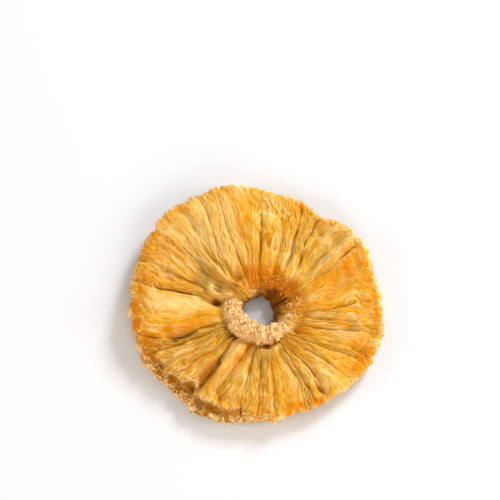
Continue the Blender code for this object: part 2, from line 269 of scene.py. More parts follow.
class NodeBook:
    """A material's nodes, all added by one method."""

    def __init__(self, name: str) -> None:
        """Starts a material with one Principled shader.

        Args:
            name: The material's name.
        """
        self.material = bpy.data.materials.new(name)
        self.material.use_nodes = True
        self.tree = self.material.node_tree
        self.shader = self.tree.nodes["Principled BSDF"]

    def node(self, kind: str, settings: dict[str, Any], sockets: dict[Any, Any]) -> bpy.types.Node:
        """Adds a node.

        Args:
            kind: The node's type.
            settings: Its own settings, set first; stops are a colour ramp's places and colours.
            sockets: Values or links for its inputs, by name or number.

        Returns:
            The new node.
        """
        node = self.tree.nodes.new(kind)
        for name, value in settings.items():
            if name == "stops":
                self._set_stops(node.color_ramp, value)
            else:
                setattr(node, name, value)
        for name, value in sockets.items():
            self.feed(node.inputs[name], value)
        return node

    @staticmethod
    def _set_stops(ramp: bpy.types.ColorRamp, stops: list[tuple[float, Colour]]) -> None:
        """Gives a colour ramp its stops.

        Args:
            ramp: The ramp.
            stops: Each stop's place and colour.
        """
        while len(ramp.elements) < len(stops):
            ramp.elements.new(1.0)
        for element, (place, colour) in zip(ramp.elements, stops):
            element.position = place
            element.color = (*colour, 1.0)

    def feed(self, socket: Socket, value: Any) -> None:
        """Feeds a socket.

        Args:
            socket: The socket.
            value: A wire or an output to link, or a plain value to set.
        """
        if isinstance(value, Wire):
            value = value.socket
        if isinstance(value, Socket):
            self.tree.links.new(value, socket)
        elif isinstance(value, tuple) and len(value) == 3 and socket.type == "RGBA":
            socket.default_value = (*value, 1.0)
        else:
            socket.default_value = value

    def mark(self, name: str) -> Wire:
        """Returns a mark that the mesh holds."""
        node = self.node("ShaderNodeAttribute", {"attribute_name": name}, {})
        return Wire(self, node.outputs["Fac"])

    def place(self) -> Socket:
        """Returns the place on the object, in metres."""
        return self.node("ShaderNodeTexCoord", {}, {}).outputs["Object"]

    def noise(self, vector: Socket, speckle: Speckle) -> Wire:
        """Adds noise.

        Args:
            vector: The coordinates that it reads.
            speckle: Its scale, detail and roughness.

        Returns:
            The noise, from 0 to 1.
        """
        sockets = {"Vector": vector, "Scale": speckle.scale, "Detail": speckle.detail}
        node = self.node("ShaderNodeTexNoise", {}, {**sockets, "Roughness": speckle.rough})
        return Wire(self, node.outputs["Fac"])

    def ramp(self, factor: Wire, stops: tuple[float, ...], *colours: Colour) -> Socket:
        """Returns a colour read from a ramp of colours at their stops."""
        settings = {"stops": list(zip(stops, colours))}
        return self.node("ShaderNodeValToRGB", settings, {"Fac": factor}).outputs["Color"]

    def blend(self, factor: Wire, first: Any, second: Any) -> Socket:
        """Returns two colours mixed, by the colour sockets of a Mix node."""
        settings = {"data_type": "RGBA", "blend_type": "MIX", "clamp_factor": True}
        return self.node("ShaderNodeMix", settings, {0: factor, 6: first, 7: second}).outputs[2]

    def limits(self, value: Wire, span: Span) -> Wire:
        """Adds a smooth step.

        Args:
            value: The value to read.
            span: Where the step begins and where it ends.

        Returns:
            0 where the step begins, rising to 1 where it ends.
        """
        sockets = {"Value": value, "From Min": span[0], "From Max": span[1]}
        node = self.node("ShaderNodeMapRange", {"interpolation_type": "SMOOTHSTEP"}, sockets)
        return Wire(self, node.outputs["Result"])

    def bumped(self, height: Wire, distance: float, strength: float) -> Socket:
        """Returns a normal with fine relief."""
        sockets = {"Height": height, "Distance": distance, "Strength": strength}
        return self.node("ShaderNodeBump", {}, sockets).outputs["Normal"]

    def finish(self, colour: Any, roughness: Any, gloss: float) -> bpy.types.Material:
        """Feeds the shader.

        Args:
            colour: The base colour.
            roughness: The roughness.
            gloss: How strongly it shines.

        Returns:
            The material.
        """
        self.feed(self.shader.inputs["Base Color"], colour)
        self.feed(self.shader.inputs["Roughness"], roughness)
        self.shader.inputs["Specular IOR Level"].default_value = gloss
        return self.material

    def scatter(self, scattering: Scattering) -> None:
        """Lets light spread under the surface.

        Args:
            scattering: How it spreads.
        """
        self.shader.inputs["Subsurface Weight"].default_value = scattering.part
        self.shader.inputs["Subsurface Radius"].default_value = scattering.reach
        self.shader.inputs["Subsurface Scale"].default_value = scattering.size


@dataclass(frozen=True)
class Palette:
    """The fruit's colours, as linear light."""

    pale: Colour = (0.86, 0.62, 0.25)
    gold: Colour = (0.77, 0.42, 0.042)
    deep: Colour = (0.66, 0.29, 0.004)
    # Painted shade in the valleys between cords.
    shade: Colour = (0.50, 0.215, 0.003)
    amber: Colour = (0.72, 0.250, 0.0)
    # Painted brown shade in creases and hollows; also the throat's darkest grain colour.
    brown: Colour = (0.30, 0.10, 0.003)
    olive: Colour = (0.50, 0.35, 0.12)
    tan: Colour = (0.66, 0.33, 0.10)
    bisque: Colour = (0.77, 0.46, 0.19)
    straw: Colour = (0.87, 0.64, 0.30)
    rust: Colour = (0.60, 0.17, 0.004)
    # Painted shade in the hole and the pits.
    shade_umber: Colour = (0.17, 0.046, 0.004)


@dataclass(frozen=True)
class FleshFinish:
    """Translucent golden flesh: painted highlights on pale ridges, painted brown shade in valleys and
    creases, and amber patches.

    A part is how strongly a mark or a noise counts. Stops are a ramp's places for its colours.
    """

    palette: Palette
    hair: Speckle = Speckle(scale=1.3, detail=4.0, rough=0.65)
    patches: Speckle = Speckle(scale=90.0, detail=3.0, rough=0.55)
    mottle: Speckle = Speckle(scale=420.0, detail=3.0, rough=0.6)
    tone_part: float = 0.72
    hair_part: float = 0.84
    mottle_part: float = 0.16
    darkened: float = 0.36
    body_stops: tuple[float, ...] = (0.20, 0.48, 0.85)
    olive_part: float = 0.75
    patch_span: Span = (0.52, 0.72)
    patch_part: float = 0.40
    # Painted highlights go with the pale straw; painted shade fills the valleys and creases.
    pale_and_highlight_part: float = 0.68
    valley_shade_power: float = 1.4
    valley_shade_part: float = 0.62
    crease_shade_part: float = 0.58
    throat_stops: tuple[float, ...] = (0.38, 0.48, 0.60)
    throat_part: float = 0.85
    # Painted brown shade in hollows and along the torn line, and a browner lower ledge.
    brown_and_shade_part: float = 0.75
    edge_span: Span = (0.46, 0.60)
    collar_stops: tuple[float, ...] = (0.25, 0.45, 0.70)
    # Painted shade in the hole and the pits.
    recess_shade_part: float = 0.88
    roughness: float = 0.34
    collar_rougher: float = 0.18
    mottle_rougher: float = 0.25
    bump_distance: float = 0.0007
    bump_strength: float = 0.8
    bump_mottle: float = 0.5
    gloss: float = 0.07
    scattering: Scattering = Scattering(part=0.24, reach=(1.0, 0.45, 0.06), size=0.0009)

    def material(self, name: str) -> bpy.types.Material:
        """Makes the flesh material.

        Args:
            name: The material's name.

        Returns:
            The material.
        """
        book = NodeBook(name)
        way = book.node("ShaderNodeAttribute", {"attribute_name": "way"}, {}).outputs["Vector"]
        place = book.place()
        hair = book.noise(way, self.hair)
        patch = book.limits(book.noise(place, self.patches), self.patch_span)
        mottle = book.noise(place, self.mottle)
        collar = book.mark("collar")
        body = self.body(book, hair, mottle, patch)
        body = self.zones_and_shade(book, body, hair, mottle, collar)
        rough = collar * self.collar_rougher + mottle * self.mottle_rougher + self.roughness
        relief = hair + mottle * self.bump_mottle
        book.feed(book.shader.inputs["Normal"], book.bumped(relief, self.bump_distance, self.bump_strength))
        book.scatter(self.scattering)
        return book.finish(body, rough, self.gloss)

    def body(self, book: NodeBook, hair: Wire, mottle: Wire, patch: Wire) -> Socket:
        """Colours the fibres, with painted highlights on their ridges and painted shade in their valleys
        and creases.

        Args:
            book: The material's nodes.
            hair: Striation along the fibres.
            mottle: Fine mottling.
            patch: Broad patches.

        Returns:
            The colour of the whole flesh.
        """
        colours = self.palette
        shade = book.mark("tone") * self.tone_part + hair * self.hair_part
        shade = shade + mottle * self.mottle_part - self.darkened
        body = book.ramp(shade.clamped(), self.body_stops, colours.deep, colours.gold, colours.pale)
        body = book.blend(book.mark("olive") * self.olive_part, body, colours.olive)
        body = book.blend(patch * self.patch_part, body, colours.amber)
        # Pale straw, with painted highlights on ridges, lobes and welt crests.
        body = book.blend(book.mark("pale") * self.pale_and_highlight_part, body, colours.pale)
        # Painted shade in the valleys between cords.
        valley_shade = book.mark("valley_shade") ** self.valley_shade_power * self.valley_shade_part
        body = book.blend(valley_shade, body, colours.shade)
        body = book.blend(book.mark("amber"), body, colours.amber)
        # Painted brown shade in the open creases.
        return book.blend(book.mark("crease") * self.crease_shade_part, body, colours.brown)

    def zones_and_shade(self, book: NodeBook, body: Socket, hair: Wire, mottle: Wire, collar: Wire) -> Socket:
        """Lays the throat, the painted brown shade, the edge, the collar and the painted shade of the hole
        over the flesh.

        Args:
            book: The material's nodes.
            body: The flesh's colour.
            hair: Striation along the fibres.
            mottle: Fine mottling.
            collar: How far a place belongs to the collar.

        Returns:
            The colour of the skin.
        """
        colours = self.palette
        grainy = (hair + mottle) * 0.5
        throat = book.ramp(grainy, self.throat_stops, colours.brown, colours.rust, colours.amber)
        body = book.blend(book.mark("throat") * self.throat_part, body, throat)
        # Painted brown shade in hollows, folds and along the torn line, and browner on the lower ledge.
        body = book.blend(book.mark("brown") * self.brown_and_shade_part, body, colours.brown)
        edge = book.mark("edge") * book.limits(mottle, self.edge_span)
        body = book.blend(edge, body, colours.straw)
        roll = book.ramp(mottle, self.collar_stops, colours.amber, colours.tan, colours.straw)
        body = book.blend(collar, body, roll)
        # Painted shade in the hole and in the pits beside the collar.
        return book.blend(book.mark("recess_shade") * self.recess_shade_part, body, colours.shade_umber)


@dataclass(frozen=True)
class ScrapFinish:
    """A finish for the collar, grains, tips and crumbs: from dark to light by their tone."""

    dark: Colour
    middle: Colour
    light: Colour
    roughness: float = 0.6
    speckle: Speckle = Speckle(scale=900.0, detail=2.0, rough=0.5)
    tone_part: float = 0.75
    speckle_part: float = 0.5
    darkened: float = 0.13
    stops: tuple[float, ...] = (0.1, 0.45, 0.85)
    gloss: float = 0.12
    scattering: Scattering = Scattering(part=0.10, reach=(1.0, 0.5, 0.2), size=0.0007)

    def material(self, name: str) -> bpy.types.Material:
        """Makes the material.

        Args:
            name: The material's name.

        Returns:
            The material.
        """
        book = NodeBook(name)
        fine = book.noise(book.place(), self.speckle)
        shade = book.mark("tone") * self.tone_part + fine * self.speckle_part - self.darkened
        body = book.ramp(shade.clamped(), self.stops, self.dark, self.middle, self.light)
        book.scatter(self.scattering)
        return book.finish(body, self.roughness, self.gloss)


class Pleat(NamedTuple):
    """One fold of flesh and the crease on its clockwise side.

    The crease's angle is given beside the collar, half way out and at the edge.
    """

    root: float
    middle: float
    tip: float
    crown: float
    crease: float
    start: float
    end: float


class Swell(NamedTuple):
    """A rise, a dip or a tint round one place; it fades over a spread of angle and a reach of share."""

    angle: float
    share: float
    height: float
    spread: float
    reach: float


def swells(*rows: tuple[float, float, float, float, float]) -> tuple[Swell, ...]:
    """Returns swells from rows of an angle, a share, a height, a spread and a reach."""
    return tuple(Swell(*row) for row in rows)


PLEATS = (
    Pleat(root=-8, middle=1.5, tip=2, crown=0.8, crease=0.8, start=0.15, end=0.95),
    Pleat(root=14, middle=17, tip=15, crown=0.35, crease=0.3, start=0.45, end=0.8),
    Pleat(root=25, middle=31, tip=34.5, crown=1.8, crease=0.7, start=0.35, end=1.0),
    Pleat(root=33, middle=43, tip=41, crown=0.4, crease=0.6, start=0.3, end=0.8),
    Pleat(root=46, middle=57, tip=61, crown=0.6, crease=1.5, start=0.35, end=0.93),
    Pleat(root=62, middle=66, tip=72, crown=0.6, crease=1.2, start=0.3, end=0.95),
    Pleat(root=76, middle=78, tip=82, crown=0.5, crease=0.3, start=0.1, end=0.5),
    Pleat(root=97, middle=93.5, tip=93, crown=0.5, crease=1.6, start=0.15, end=0.75),
    Pleat(root=110, middle=105, tip=108, crown=0.5, crease=0.3, start=0.1, end=0.9),
    Pleat(root=120, middle=114, tip=112, crown=0.5, crease=0.5, start=0.2, end=0.9),
    Pleat(root=137, middle=124, tip=118, crown=0.7, crease=0.7, start=0.1, end=0.95),
    Pleat(root=145, middle=133, tip=131, crown=0.4, crease=0.4, start=0.3, end=0.9),
    Pleat(root=152, middle=143, tip=143, crown=0.4, crease=0.25, start=0.4, end=0.8),
    Pleat(root=158, middle=151, tip=150, crown=0.4, crease=0.4, start=0.4, end=0.9),
    Pleat(root=164, middle=160, tip=156, crown=0.6, crease=1.0, start=0.4, end=1.0),
    Pleat(root=171, middle=168.5, tip=168, crown=0.7, crease=1.9, start=0.35, end=1.0),
    Pleat(root=186, middle=184, tip=185, crown=0.5, crease=0.05, start=0.3, end=0.9),
    Pleat(root=199, middle=198, tip=193, crown=0.25, crease=2.0, start=0.3, end=0.95),
    Pleat(root=207, middle=204, tip=203, crown=0.9, crease=1.1, start=0.25, end=0.9),
    Pleat(root=213, middle=212, tip=209.5, crown=0.9, crease=0.5, start=0.25, end=0.9),
    Pleat(root=218, middle=220.5, tip=216, crown=1.0, crease=0.6, start=0.2, end=0.85),
    Pleat(root=224, middle=231, tip=232, crown=1.4, crease=2.4, start=0.1, end=0.95),
    Pleat(root=251, middle=242.5, tip=243, crown=0.6, crease=0.6, start=0.2, end=0.9),
    Pleat(root=256, middle=257, tip=256.5, crown=1.0, crease=1.0, start=0.25, end=1.0),
    Pleat(root=265, middle=266, tip=265.5, crown=1.0, crease=0.3, start=0.3, end=0.9),
    Pleat(root=274, middle=276.5, tip=275, crown=0.5, crease=1.0, start=0.2, end=0.9),
    Pleat(root=282, middle=290, tip=291, crown=0.8, crease=0.4, start=0.3, end=0.9),
    Pleat(root=289, middle=297, tip=297, crown=0.6, crease=0.3, start=0.3, end=0.9),
    Pleat(root=296, middle=304, tip=303, crown=0.9, crease=1.2, start=0.35, end=0.9),
    Pleat(root=304, middle=316, tip=318.5, crown=0.7, crease=0.5, start=0.2, end=0.9),
    Pleat(root=312, middle=325, tip=327, crown=0.6, crease=0.4, start=0.2, end=0.9),
    Pleat(root=322, middle=333, tip=335, crown=0.5, crease=0.3, start=0.3, end=0.9),
    Pleat(root=334, middle=341.5, tip=345.5, crown=1.0, crease=0.6, start=0.3, end=0.95),
    Pleat(root=343, middle=350, tip=353, crown=0.8, crease=0.4, start=0.3, end=0.9),
)

# How the drying flesh has warped: a raised corner, back and left side, and a low front.
WARPS = swells(
    (38, 1.0, 3.2, 22, 0.50),
    (118, 1.0, 2.4, 34, 0.55),
    (184, 0.8, 1.2, 18, 0.40),
    (182, 0.58, 1.2, 9, 0.38),
    (250, 1.0, -0.5, 26, 0.30),
    (300, 0.45, 0.7, 40, 0.30),
)

# Pits and pockets in the top, and the lips that stand beside them.
HOLLOWS = swells(
    (172, 0.24, -3.8, 5.5, 0.050),
    (222, 0.20, -1.4, 6.0, 0.060),
    (129, 0.19, -1.0, 9.0, 0.045),
    (274, 0.19, -1.2, 4.0, 0.040),
    (322, 0.23, -1.2, 5.0, 0.055),
    (200, 0.68, -1.8, 4.5, 0.170),
    (230, 0.60, -0.9, 3.2, 0.250),
    (245, 0.80, -1.4, 2.4, 0.050),
    (303, 0.87, -1.5, 2.2, 0.060),
    (150, 0.45, -0.8, 9.0, 0.120),
    (85, 0.46, -0.5, 8.0, 0.050),
    (24, 0.70, -1.3, 7.0, 0.250),
    (273, 0.28, 0.9, 7.0, 0.035),
    (148, 0.21, 0.7, 8.0, 0.035),
    (217, 0.84, 0.5, 8.0, 0.050),
    (312, 0.82, 0.6, 5.0, 0.100),
)

# Where the torn line bends inwards or outwards from the ledge's own share.
LEDGE_BAYS = swells(
    (228.5, 0.85, -0.12, 3.5, 1.0),
    (198, 0.85, -0.09, 6.0, 1.0),
    (215, 0.85, 0.02, 4.0, 1.0),
)

# The flesh rests on three broad flat spots.
FEET = swells(
    (75, 0.62, -2.0, 11, 0.20),
    (196, 0.66, -2.2, 10, 0.20),
    (312, 0.66, -2.0, 11, 0.20),
)


def total_swell(rows: tuple[Swell, ...], angle: Array, share: Array) -> Array:
    """Adds up rises and dips.

    Args:
        rows: The rises and dips.
        angle: The angle of each place.
        share: How far out it is.

    Returns:
        The summed height at each place.
    """
    total = np.zeros(np.broadcast(angle, share).shape)
    for swell in rows:
        around = beside(angle, swell.angle, swell.spread)
        total += swell.height * around * bell(share - swell.share, swell.reach)
    return total


@dataclass(frozen=True)
class RingForm:
    """The ring's large shape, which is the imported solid's."""

    thickness: float = 5.0
    thinnest: float = 1.9
    outer_radii: tuple[float, ...] = (
        37.4, 36.5, 37.8, 38.0, 36.5, 39.0, 41.2, 43.4, 44.3, 45.2, 44.5, 43.5,
        42.5, 41.7, 40.5, 39.0, 39.6, 37.4, 36.6, 35.4, 35.9, 36.2, 37.5, 37.7,
    )
    hole_radii: tuple[float, ...] = (6.9, 6.5, 5.9, 5.3, 5.5, 6.2, 6.6, 6.5, 5.7, 6.5, 5.8, 6.2)
    outer_ripple: Ripple = Ripple(seed=32, height=0.55, cells_round=90, cells_along=1)
    hole_ripple: Ripple = Ripple(seed=31, height=0.35, cells_round=52, cells_along=1)
    mean_hole: float = 7.0
    mean_flesh: float = 32.0
    # The brow is the rise across the hole from the collar, and the funnel the slope down from it.
    brow: float = 1.3
    brow_share: float = 0.24
    brow_width: float = 0.14
    funnel_depth: float = 2.3
    funnel_width: float = 0.14
    collar_angle: float = 247.0
    collar_height: float = 2.2
    collar_lumps: Ripple = Ripple(seed=13, height=0.5, cells_round=26, cells_along=2)
    collar_share: float = 0.085
    collar_width: float = 0.070
    groove_depth: float = 1.2
    groove_share: float = 0.19
    groove_width: float = 0.045
    # The hole's lower lip reaches inwards on one side.
    lip_angle: float = 10.0
    lip_spread: float = 70.0
    lip_reach: float = 5.3
    lip_share: float = 0.20
    fold_height: float = 0.70
    fold_fullness: float = 0.6
    folds_begin: float = 0.10
    folds_grow: float = 0.30
    fine_folds: Ripple = Ripple(seed=11, height=0.35, cells_round=102, cells_along=5)
    broad_waves: Ripple = Ripple(seed=12, height=0.35, cells_round=34, cells_along=9)
    crease_depth: float = 0.85
    crease_width: float = 0.65
    crease_softness: float = 0.045
    # The shares at which a pleat gives its crease's root, middle and tip, and the least share read.
    crease_stations: tuple[float, float, float] = (0.15, 0.55, 1.0)
    crease_least: float = 0.12
    crease_sway: Ripple = Ripple(seed=15, height=1.7, cells_round=len(PLEATS), cells_along=5)
    # A nudge keeps a cell's number from being rounded down.
    cell_nudge: float = 0.001
    ledge_angle: float = 230.0
    ledge_spread: float = 24.0
    ledge_share: float = 0.905
    ledge_depth: float = 2.5
    ledge_softness: float = 0.014
    ledge_ripple: Ripple = Ripple(seed=14, height=0.030, cells_round=80, cells_along=1)
    base: float = 0.75
    under_fold: float = 0.7
    under_middle: float = 0.6
    under_grow: float = 0.4
    under_waves: Ripple = Ripple(seed=21, height=0.6, cells_round=40, cells_along=4)
    hole_lift: float = 1.0
    hole_lift_width: float = 0.10
    edge_lift: float = 0.9
    edge_lift_width: float = 0.08
    # How often, and by what part of what is left, a turn is corrected towards its angle.
    turn_steps: int = 30
    turn_pull: float = 0.5

    def crease_angle(self, index: Array, share: Array) -> Array:
        """Follows a pleat's crease out from the hole.

        Args:
            index: The pleat's number.
            share: How far out.

        Returns:
            The crease's angle there.
        """
        places = np.array([(p.root, p.middle, p.tip) for p in PLEATS], float)
        root, middle, tip = places.T[:, index]
        near, half, far = self.crease_stations
        out = np.maximum(share, self.crease_least)
        angle = root * (out - half) * (out - far) / ((near - half) * (near - far))
        angle = angle + middle * (out - near) * (out - far) / ((half - near) * (half - far))
        angle = angle + tip * (out - near) * (out - half) / ((far - near) * (far - half))
        return angle + self.crease_sway.over((index + self.cell_nudge) / len(PLEATS), share)

    def fibre_angle(self, turn: Array, share: Array) -> tuple[Array, Array, Array, Array]:
        """Follows a fibre out from the hole.

        Args:
            turn: The fibre's turn.
            share: How far out.

        Returns:
            The fibre's angle there, its pleat's number, its place across the pleat from 0 to 1,
            and the pleat's width in millimetres.
        """
        count = len(PLEATS)
        place = (turn % 1.0) * count
        index = np.floor(place).astype(int) % count
        across = place - np.floor(place)
        near = self.crease_angle(index, share)
        width = (self.crease_angle((index + 1) % count, share) - near) % 360.0
        radius = self.mean_hole + self.mean_flesh * share
        return near + across * width, index, across, np.radians(width) * radius

    def turn_at(self, angle: Array, share: Array) -> Array:
        """Finds the fibres that pass given places.

        Args:
            angle: The angle of each place.
            share: How far out it is.

        Returns:
            The turn of the fibre there.
        """
        turn = (angle / 360.0) % 1.0
        for _ in range(self.turn_steps):
            short = turned_from(angle, self.fibre_angle(turn, share)[0])
            turn = turn + self.turn_pull * short / 360.0
        return turn % 1.0

    def crease_reach(self, index: Array, share: Array) -> Array:
        """Tells where a crease is open.

        Args:
            index: The crease's number.
            share: How far out.

        Returns:
            1 along the stretch where it is open, falling to 0 past its ends.
        """
        start, end = np.array([(p.start, p.end) for p in PLEATS]).T[:, index]
        opened = 1 / (1 + np.exp(-(share - start) / self.crease_softness))
        return opened / (1 + np.exp((share - end) / self.crease_softness))

    def collar_side(self, angle: Array) -> Array:
        """Returns 1 where the collar stands proud, falling to 0 across the hole."""
        return 0.5 + 0.5 * np.cos(np.radians(turned_from(angle, self.collar_angle)))

    def creasing(self, index: Array, across: Array, width: Array, share: Array) -> Array:
        """Works out the creases on both sides of a pleat.

        Args:
            index: The pleat's number.
            across: The place across it, from 0 to 1.
            width: Its width in millimetres.
            share: How far out.

        Returns:
            How deep the creases are there, as a multiple of the crease depth.
        """
        creases = np.array([p.crease for p in PLEATS])
        following = (index + 1) % len(creases)
        near = np.exp(-across * width / self.crease_width)
        far = np.exp(-(1 - across) * width / self.crease_width)
        depth = creases[index] * self.crease_reach(index, share) * near
        return depth + creases[following] * self.crease_reach(following, share) * far

    def top(
        self, turn: Array, angle: Array, share: Array, index: Array, across: Array, width: Array
    ) -> Array:
        """Works out the upper face before warping.

        Args:
            turn: The turn of each place.
            angle: Its angle.
            share: How far out it is.
            index: Its pleat's number.
            across: Its place across the pleat, from 0 to 1.
            width: The pleat's width in millimetres.

        Returns:
            The height of the upper face in millimetres.
        """
        crowns = np.array([p.crown for p in PLEATS])
        grown = np.clip((share - self.folds_begin) / self.folds_grow, 0, 1)
        arch = np.clip(4 * across * (1 - across), 0, 1) ** self.fold_fullness
        height = self.fold_height * grown * crowns[index] * (arch - 0.5)
        height -= self.crease_depth * self.creasing(index, across, width, share)
        height += self.fine_folds.over(turn, share) * grown
        height += self.broad_waves.over(turn, share)
        side = self.collar_side(angle)
        roll = self.collar_height + self.collar_lumps.over(turn, share)
        height += side * roll * bell(share - self.collar_share, self.collar_width)
        height -= side * self.groove_depth * bell(share - self.groove_share, self.groove_width)
        height -= (1 - side) * self.funnel_depth * bell(share, self.funnel_width)
        height += (1 - side) * self.brow * bell(share - self.brow_share, self.brow_width)
        height += total_swell(HOLLOWS, angle, share)
        return self.thickness + height - self.ledge_depth * self.torn_down(turn, angle, share)

    def torn_line(self, turn: Array, angle: Array, share: Array) -> Array:
        """Returns the share at which the upper flesh is torn off."""
        ripple = self.ledge_ripple.over(turn, share)
        return self.ledge_share + ripple + total_swell(LEDGE_BAYS, angle, share)

    def torn_down(self, turn: Array, angle: Array, share: Array) -> Array:
        """Returns 1 on the lower ledge and 0 on the whole flesh."""
        past = share - self.torn_line(turn, angle, share)
        return self.near_ledge(angle) / (1 + np.exp(-past / self.ledge_softness))

    def near_ledge(self, angle: Array) -> Array:
        """Returns 1 at the middle of the ledge, falling to 0 past its two ends."""
        return beside(angle, self.ledge_angle, self.ledge_spread)

    def bottom(self, turn: Array, angle: Array, share: Array, across: Array) -> Array:
        """Works out the underside before warping.

        Args:
            turn: The turn of each place.
            angle: Its angle.
            share: How far out it is.
            across: Its place across the pleat, from 0 to 1.

        Returns:
            The height of the underside in millimetres.
        """
        arch = np.sqrt(np.clip(4 * across * (1 - across), 0, 1))
        grown = np.clip(share / self.under_grow, 0, 1)
        height = self.base + self.under_fold * (self.under_middle - arch) * grown
        height += self.under_waves.over(turn, share)
        lift = self.hole_lift * bell(share, self.hole_lift_width)
        height += lift + self.edge_lift * bell(share - 1, self.edge_lift_width)
        return height + total_swell(FEET, angle, share)

    def radius(self, turn: Array, angle: Array, share: Array, level: Array) -> Array:
        """Works out how far places are from the middle of the hole.

        Args:
            turn: The turn of each place.
            angle: Its angle.
            share: How far out it is.
            level: -1 on the underside to 1 on top.

        Returns:
            The distance in millimetres.
        """
        inner = round_the_ring(self.hole_radii, angle)
        inner = inner + self.hole_ripple.over(turn, share)
        low = (1 - level) / 2 * (1 - rise(share, 0.0, self.lip_share))
        inner = inner - self.lip_reach * low * beside(angle, self.lip_angle, self.lip_spread)
        outer = round_the_ring(self.outer_radii, angle)
        outer = outer + self.outer_ripple.over(turn, share)
        return inner + (outer - inner) * share

    def heights(self, turn: Array, share: Array) -> tuple[Array, Array, Array]:
        """Finds the ring's lower and upper face as they are warped.

        Args:
            turn: The turn of each place.
            share: How far out it is.

        Returns:
            The angle, and the lowest and the highest point there in millimetres.
        """
        angle, index, across, width = self.fibre_angle(turn, share)
        warp = total_swell(WARPS, angle, share)
        low = np.maximum(self.bottom(turn, angle, share, across) + warp, 0.0)
        high = self.top(turn, angle, share, index, across, width) + warp
        return angle, low, np.maximum(high, low + self.thinnest)


class Cords(NamedTuple):
    """What a layer of side-by-side fibres is like: its arch from 0 to 1, and each cord's number."""

    arch: Array
    number: Array


class OwnValue(NamedTuple):
    """A value that each cord has to itself and that changes along it in some number of cells."""

    seed: int
    mean: float
    spread: float
    cells: int


@dataclass(frozen=True)
class FibreLayer:
    """A layer of fibres that lie side by side, wander, and run together."""

    count: int
    wander: float
    seed: int
    drift_cells: tuple[int, int] = (52, 3)
    sway_cells: tuple[int, int] = (130, 7)
    sway_part: float = 0.8
    unevenness: float = 0.38
    # Further away, in cords, than any cord that is looked at.
    far: float = 9.0
    # A nudge keeps a cord's number from being rounded down.
    cell_nudge: float = 1e-6

    def cords(self, turn: Array, share: Array) -> Cords:
        """Finds which cord each place is on.

        Args:
            turn: The place round the ring, from 0 to 1.
            share: How far out.

        Returns:
            The cord's rounded height from 0 to 1, and the cord's number.
        """
        drift = lattice_noise(self.seed, turn, share, *self.drift_cells)
        sway = lattice_noise(self.seed + 1, turn, share, *self.sway_cells)
        place = (turn + self.wander * (drift + self.sway_part * sway)) % 1.0 * self.count
        draw = np.random.default_rng(self.seed + 2)
        jitter = draw.uniform(-self.unevenness, self.unevenness, self.count)
        home = np.floor(place).astype(int)
        nearest = np.full(place.shape, self.far)
        second = np.full(place.shape, self.far)
        number = np.zeros(place.shape, int)
        for step in (-1, 0, 1):
            candidate = home + step
            away = np.abs(place - (candidate + 0.5 + jitter[candidate % self.count]))
            closer = away < nearest
            second = np.where(closer, nearest, np.minimum(second, away))
            nearest = np.where(closer, away, nearest)
            number = np.where(closer, candidate % self.count, number)
        ridge = np.clip(second - nearest, 0.0, 1.0)
        return Cords(np.sqrt(1 - (1 - ridge) ** 2), number)

    def each(self, value: OwnValue, number: Array, share: Array) -> Array:
        """Reads a value that each cord has to itself.

        Args:
            value: The value's seed, mean and spread.
            number: The cord's number at each place.
            share: How far out it is.

        Returns:
            The value at each place.
        """
        own_cell = (number + self.cell_nudge) / self.count
        noise = lattice_noise(value.seed + self.seed, own_cell, share, self.count, value.cells)
        return value.mean + value.spread * noise


# Amber patches, where the flesh is thin or syrupy, and one painted shade on a lobe's lower side.
AMBER = swells(
    (29, 0.80, 0.75, 9, 0.15),
    (29, 0.96, 0.5, 8, 0.06),
    (22, 0.62, 0.8, 8, 0.16),
    (12, 0.95, 0.5, 8, 0.10),
    (71, 0.93, 0.9, 2, 0.07),
    (105, 0.55, 0.5, 4, 0.10),
    (128, 0.97, 1.0, 6, 0.05),
    (150, 0.97, 0.8, 4, 0.05),
    (151, 0.76, 0.45, 7, 0.12),
    (169, 0.88, 0.6, 6, 0.08),
    (163, 0.75, 0.5, 4, 0.25),
    (176, 0.97, 0.9, 6, 0.06),
    (188, 0.95, 0.9, 6, 0.09),
    # Painted shade: deeper amber on the lower side of the left lobe.
    (194, 0.55, 1.1, 3.5, 0.30),
    (199, 0.92, 0.9, 6, 0.10),
    (213, 0.95, 0.7, 9, 0.09),
    (217, 0.62, 0.6, 8, 0.15),
    (245, 0.42, 1.0, 6, 0.13),
    (231, 0.62, 0.8, 4, 0.14),
    (228, 0.30, 0.5, 5, 0.06),
    (248, 0.22, 0.7, 5, 0.06),
    (246, 0.84, 1.0, 3, 0.06),
    (256, 0.88, 0.9, 3, 0.10),
    (278, 0.43, 0.8, 3, 0.06),
    (285, 0.94, 0.9, 9, 0.06),
    (297, 0.95, 0.7, 7, 0.05),
    (303, 0.86, 1.0, 2, 0.05),
    (322, 0.25, 0.9, 6, 0.07),
    (330, 0.92, 1.0, 8, 0.09),
    (338, 0.84, 0.7, 5, 0.10),
    (352, 0.24, 0.35, 7, 0.07),
    (0, 0.38, 0.5, 5, 0.15),
    (357, 0.96, 0.8, 7, 0.06),
    (92, 0.18, 0.8, 40, 0.10),
)

# Painted shade in two pits beside the collar.
PIT_SHADE = swells(
    (171, 0.235, 0.9, 4.0, 0.030),
    (154, 0.235, 0.7, 3.5, 0.025),
)

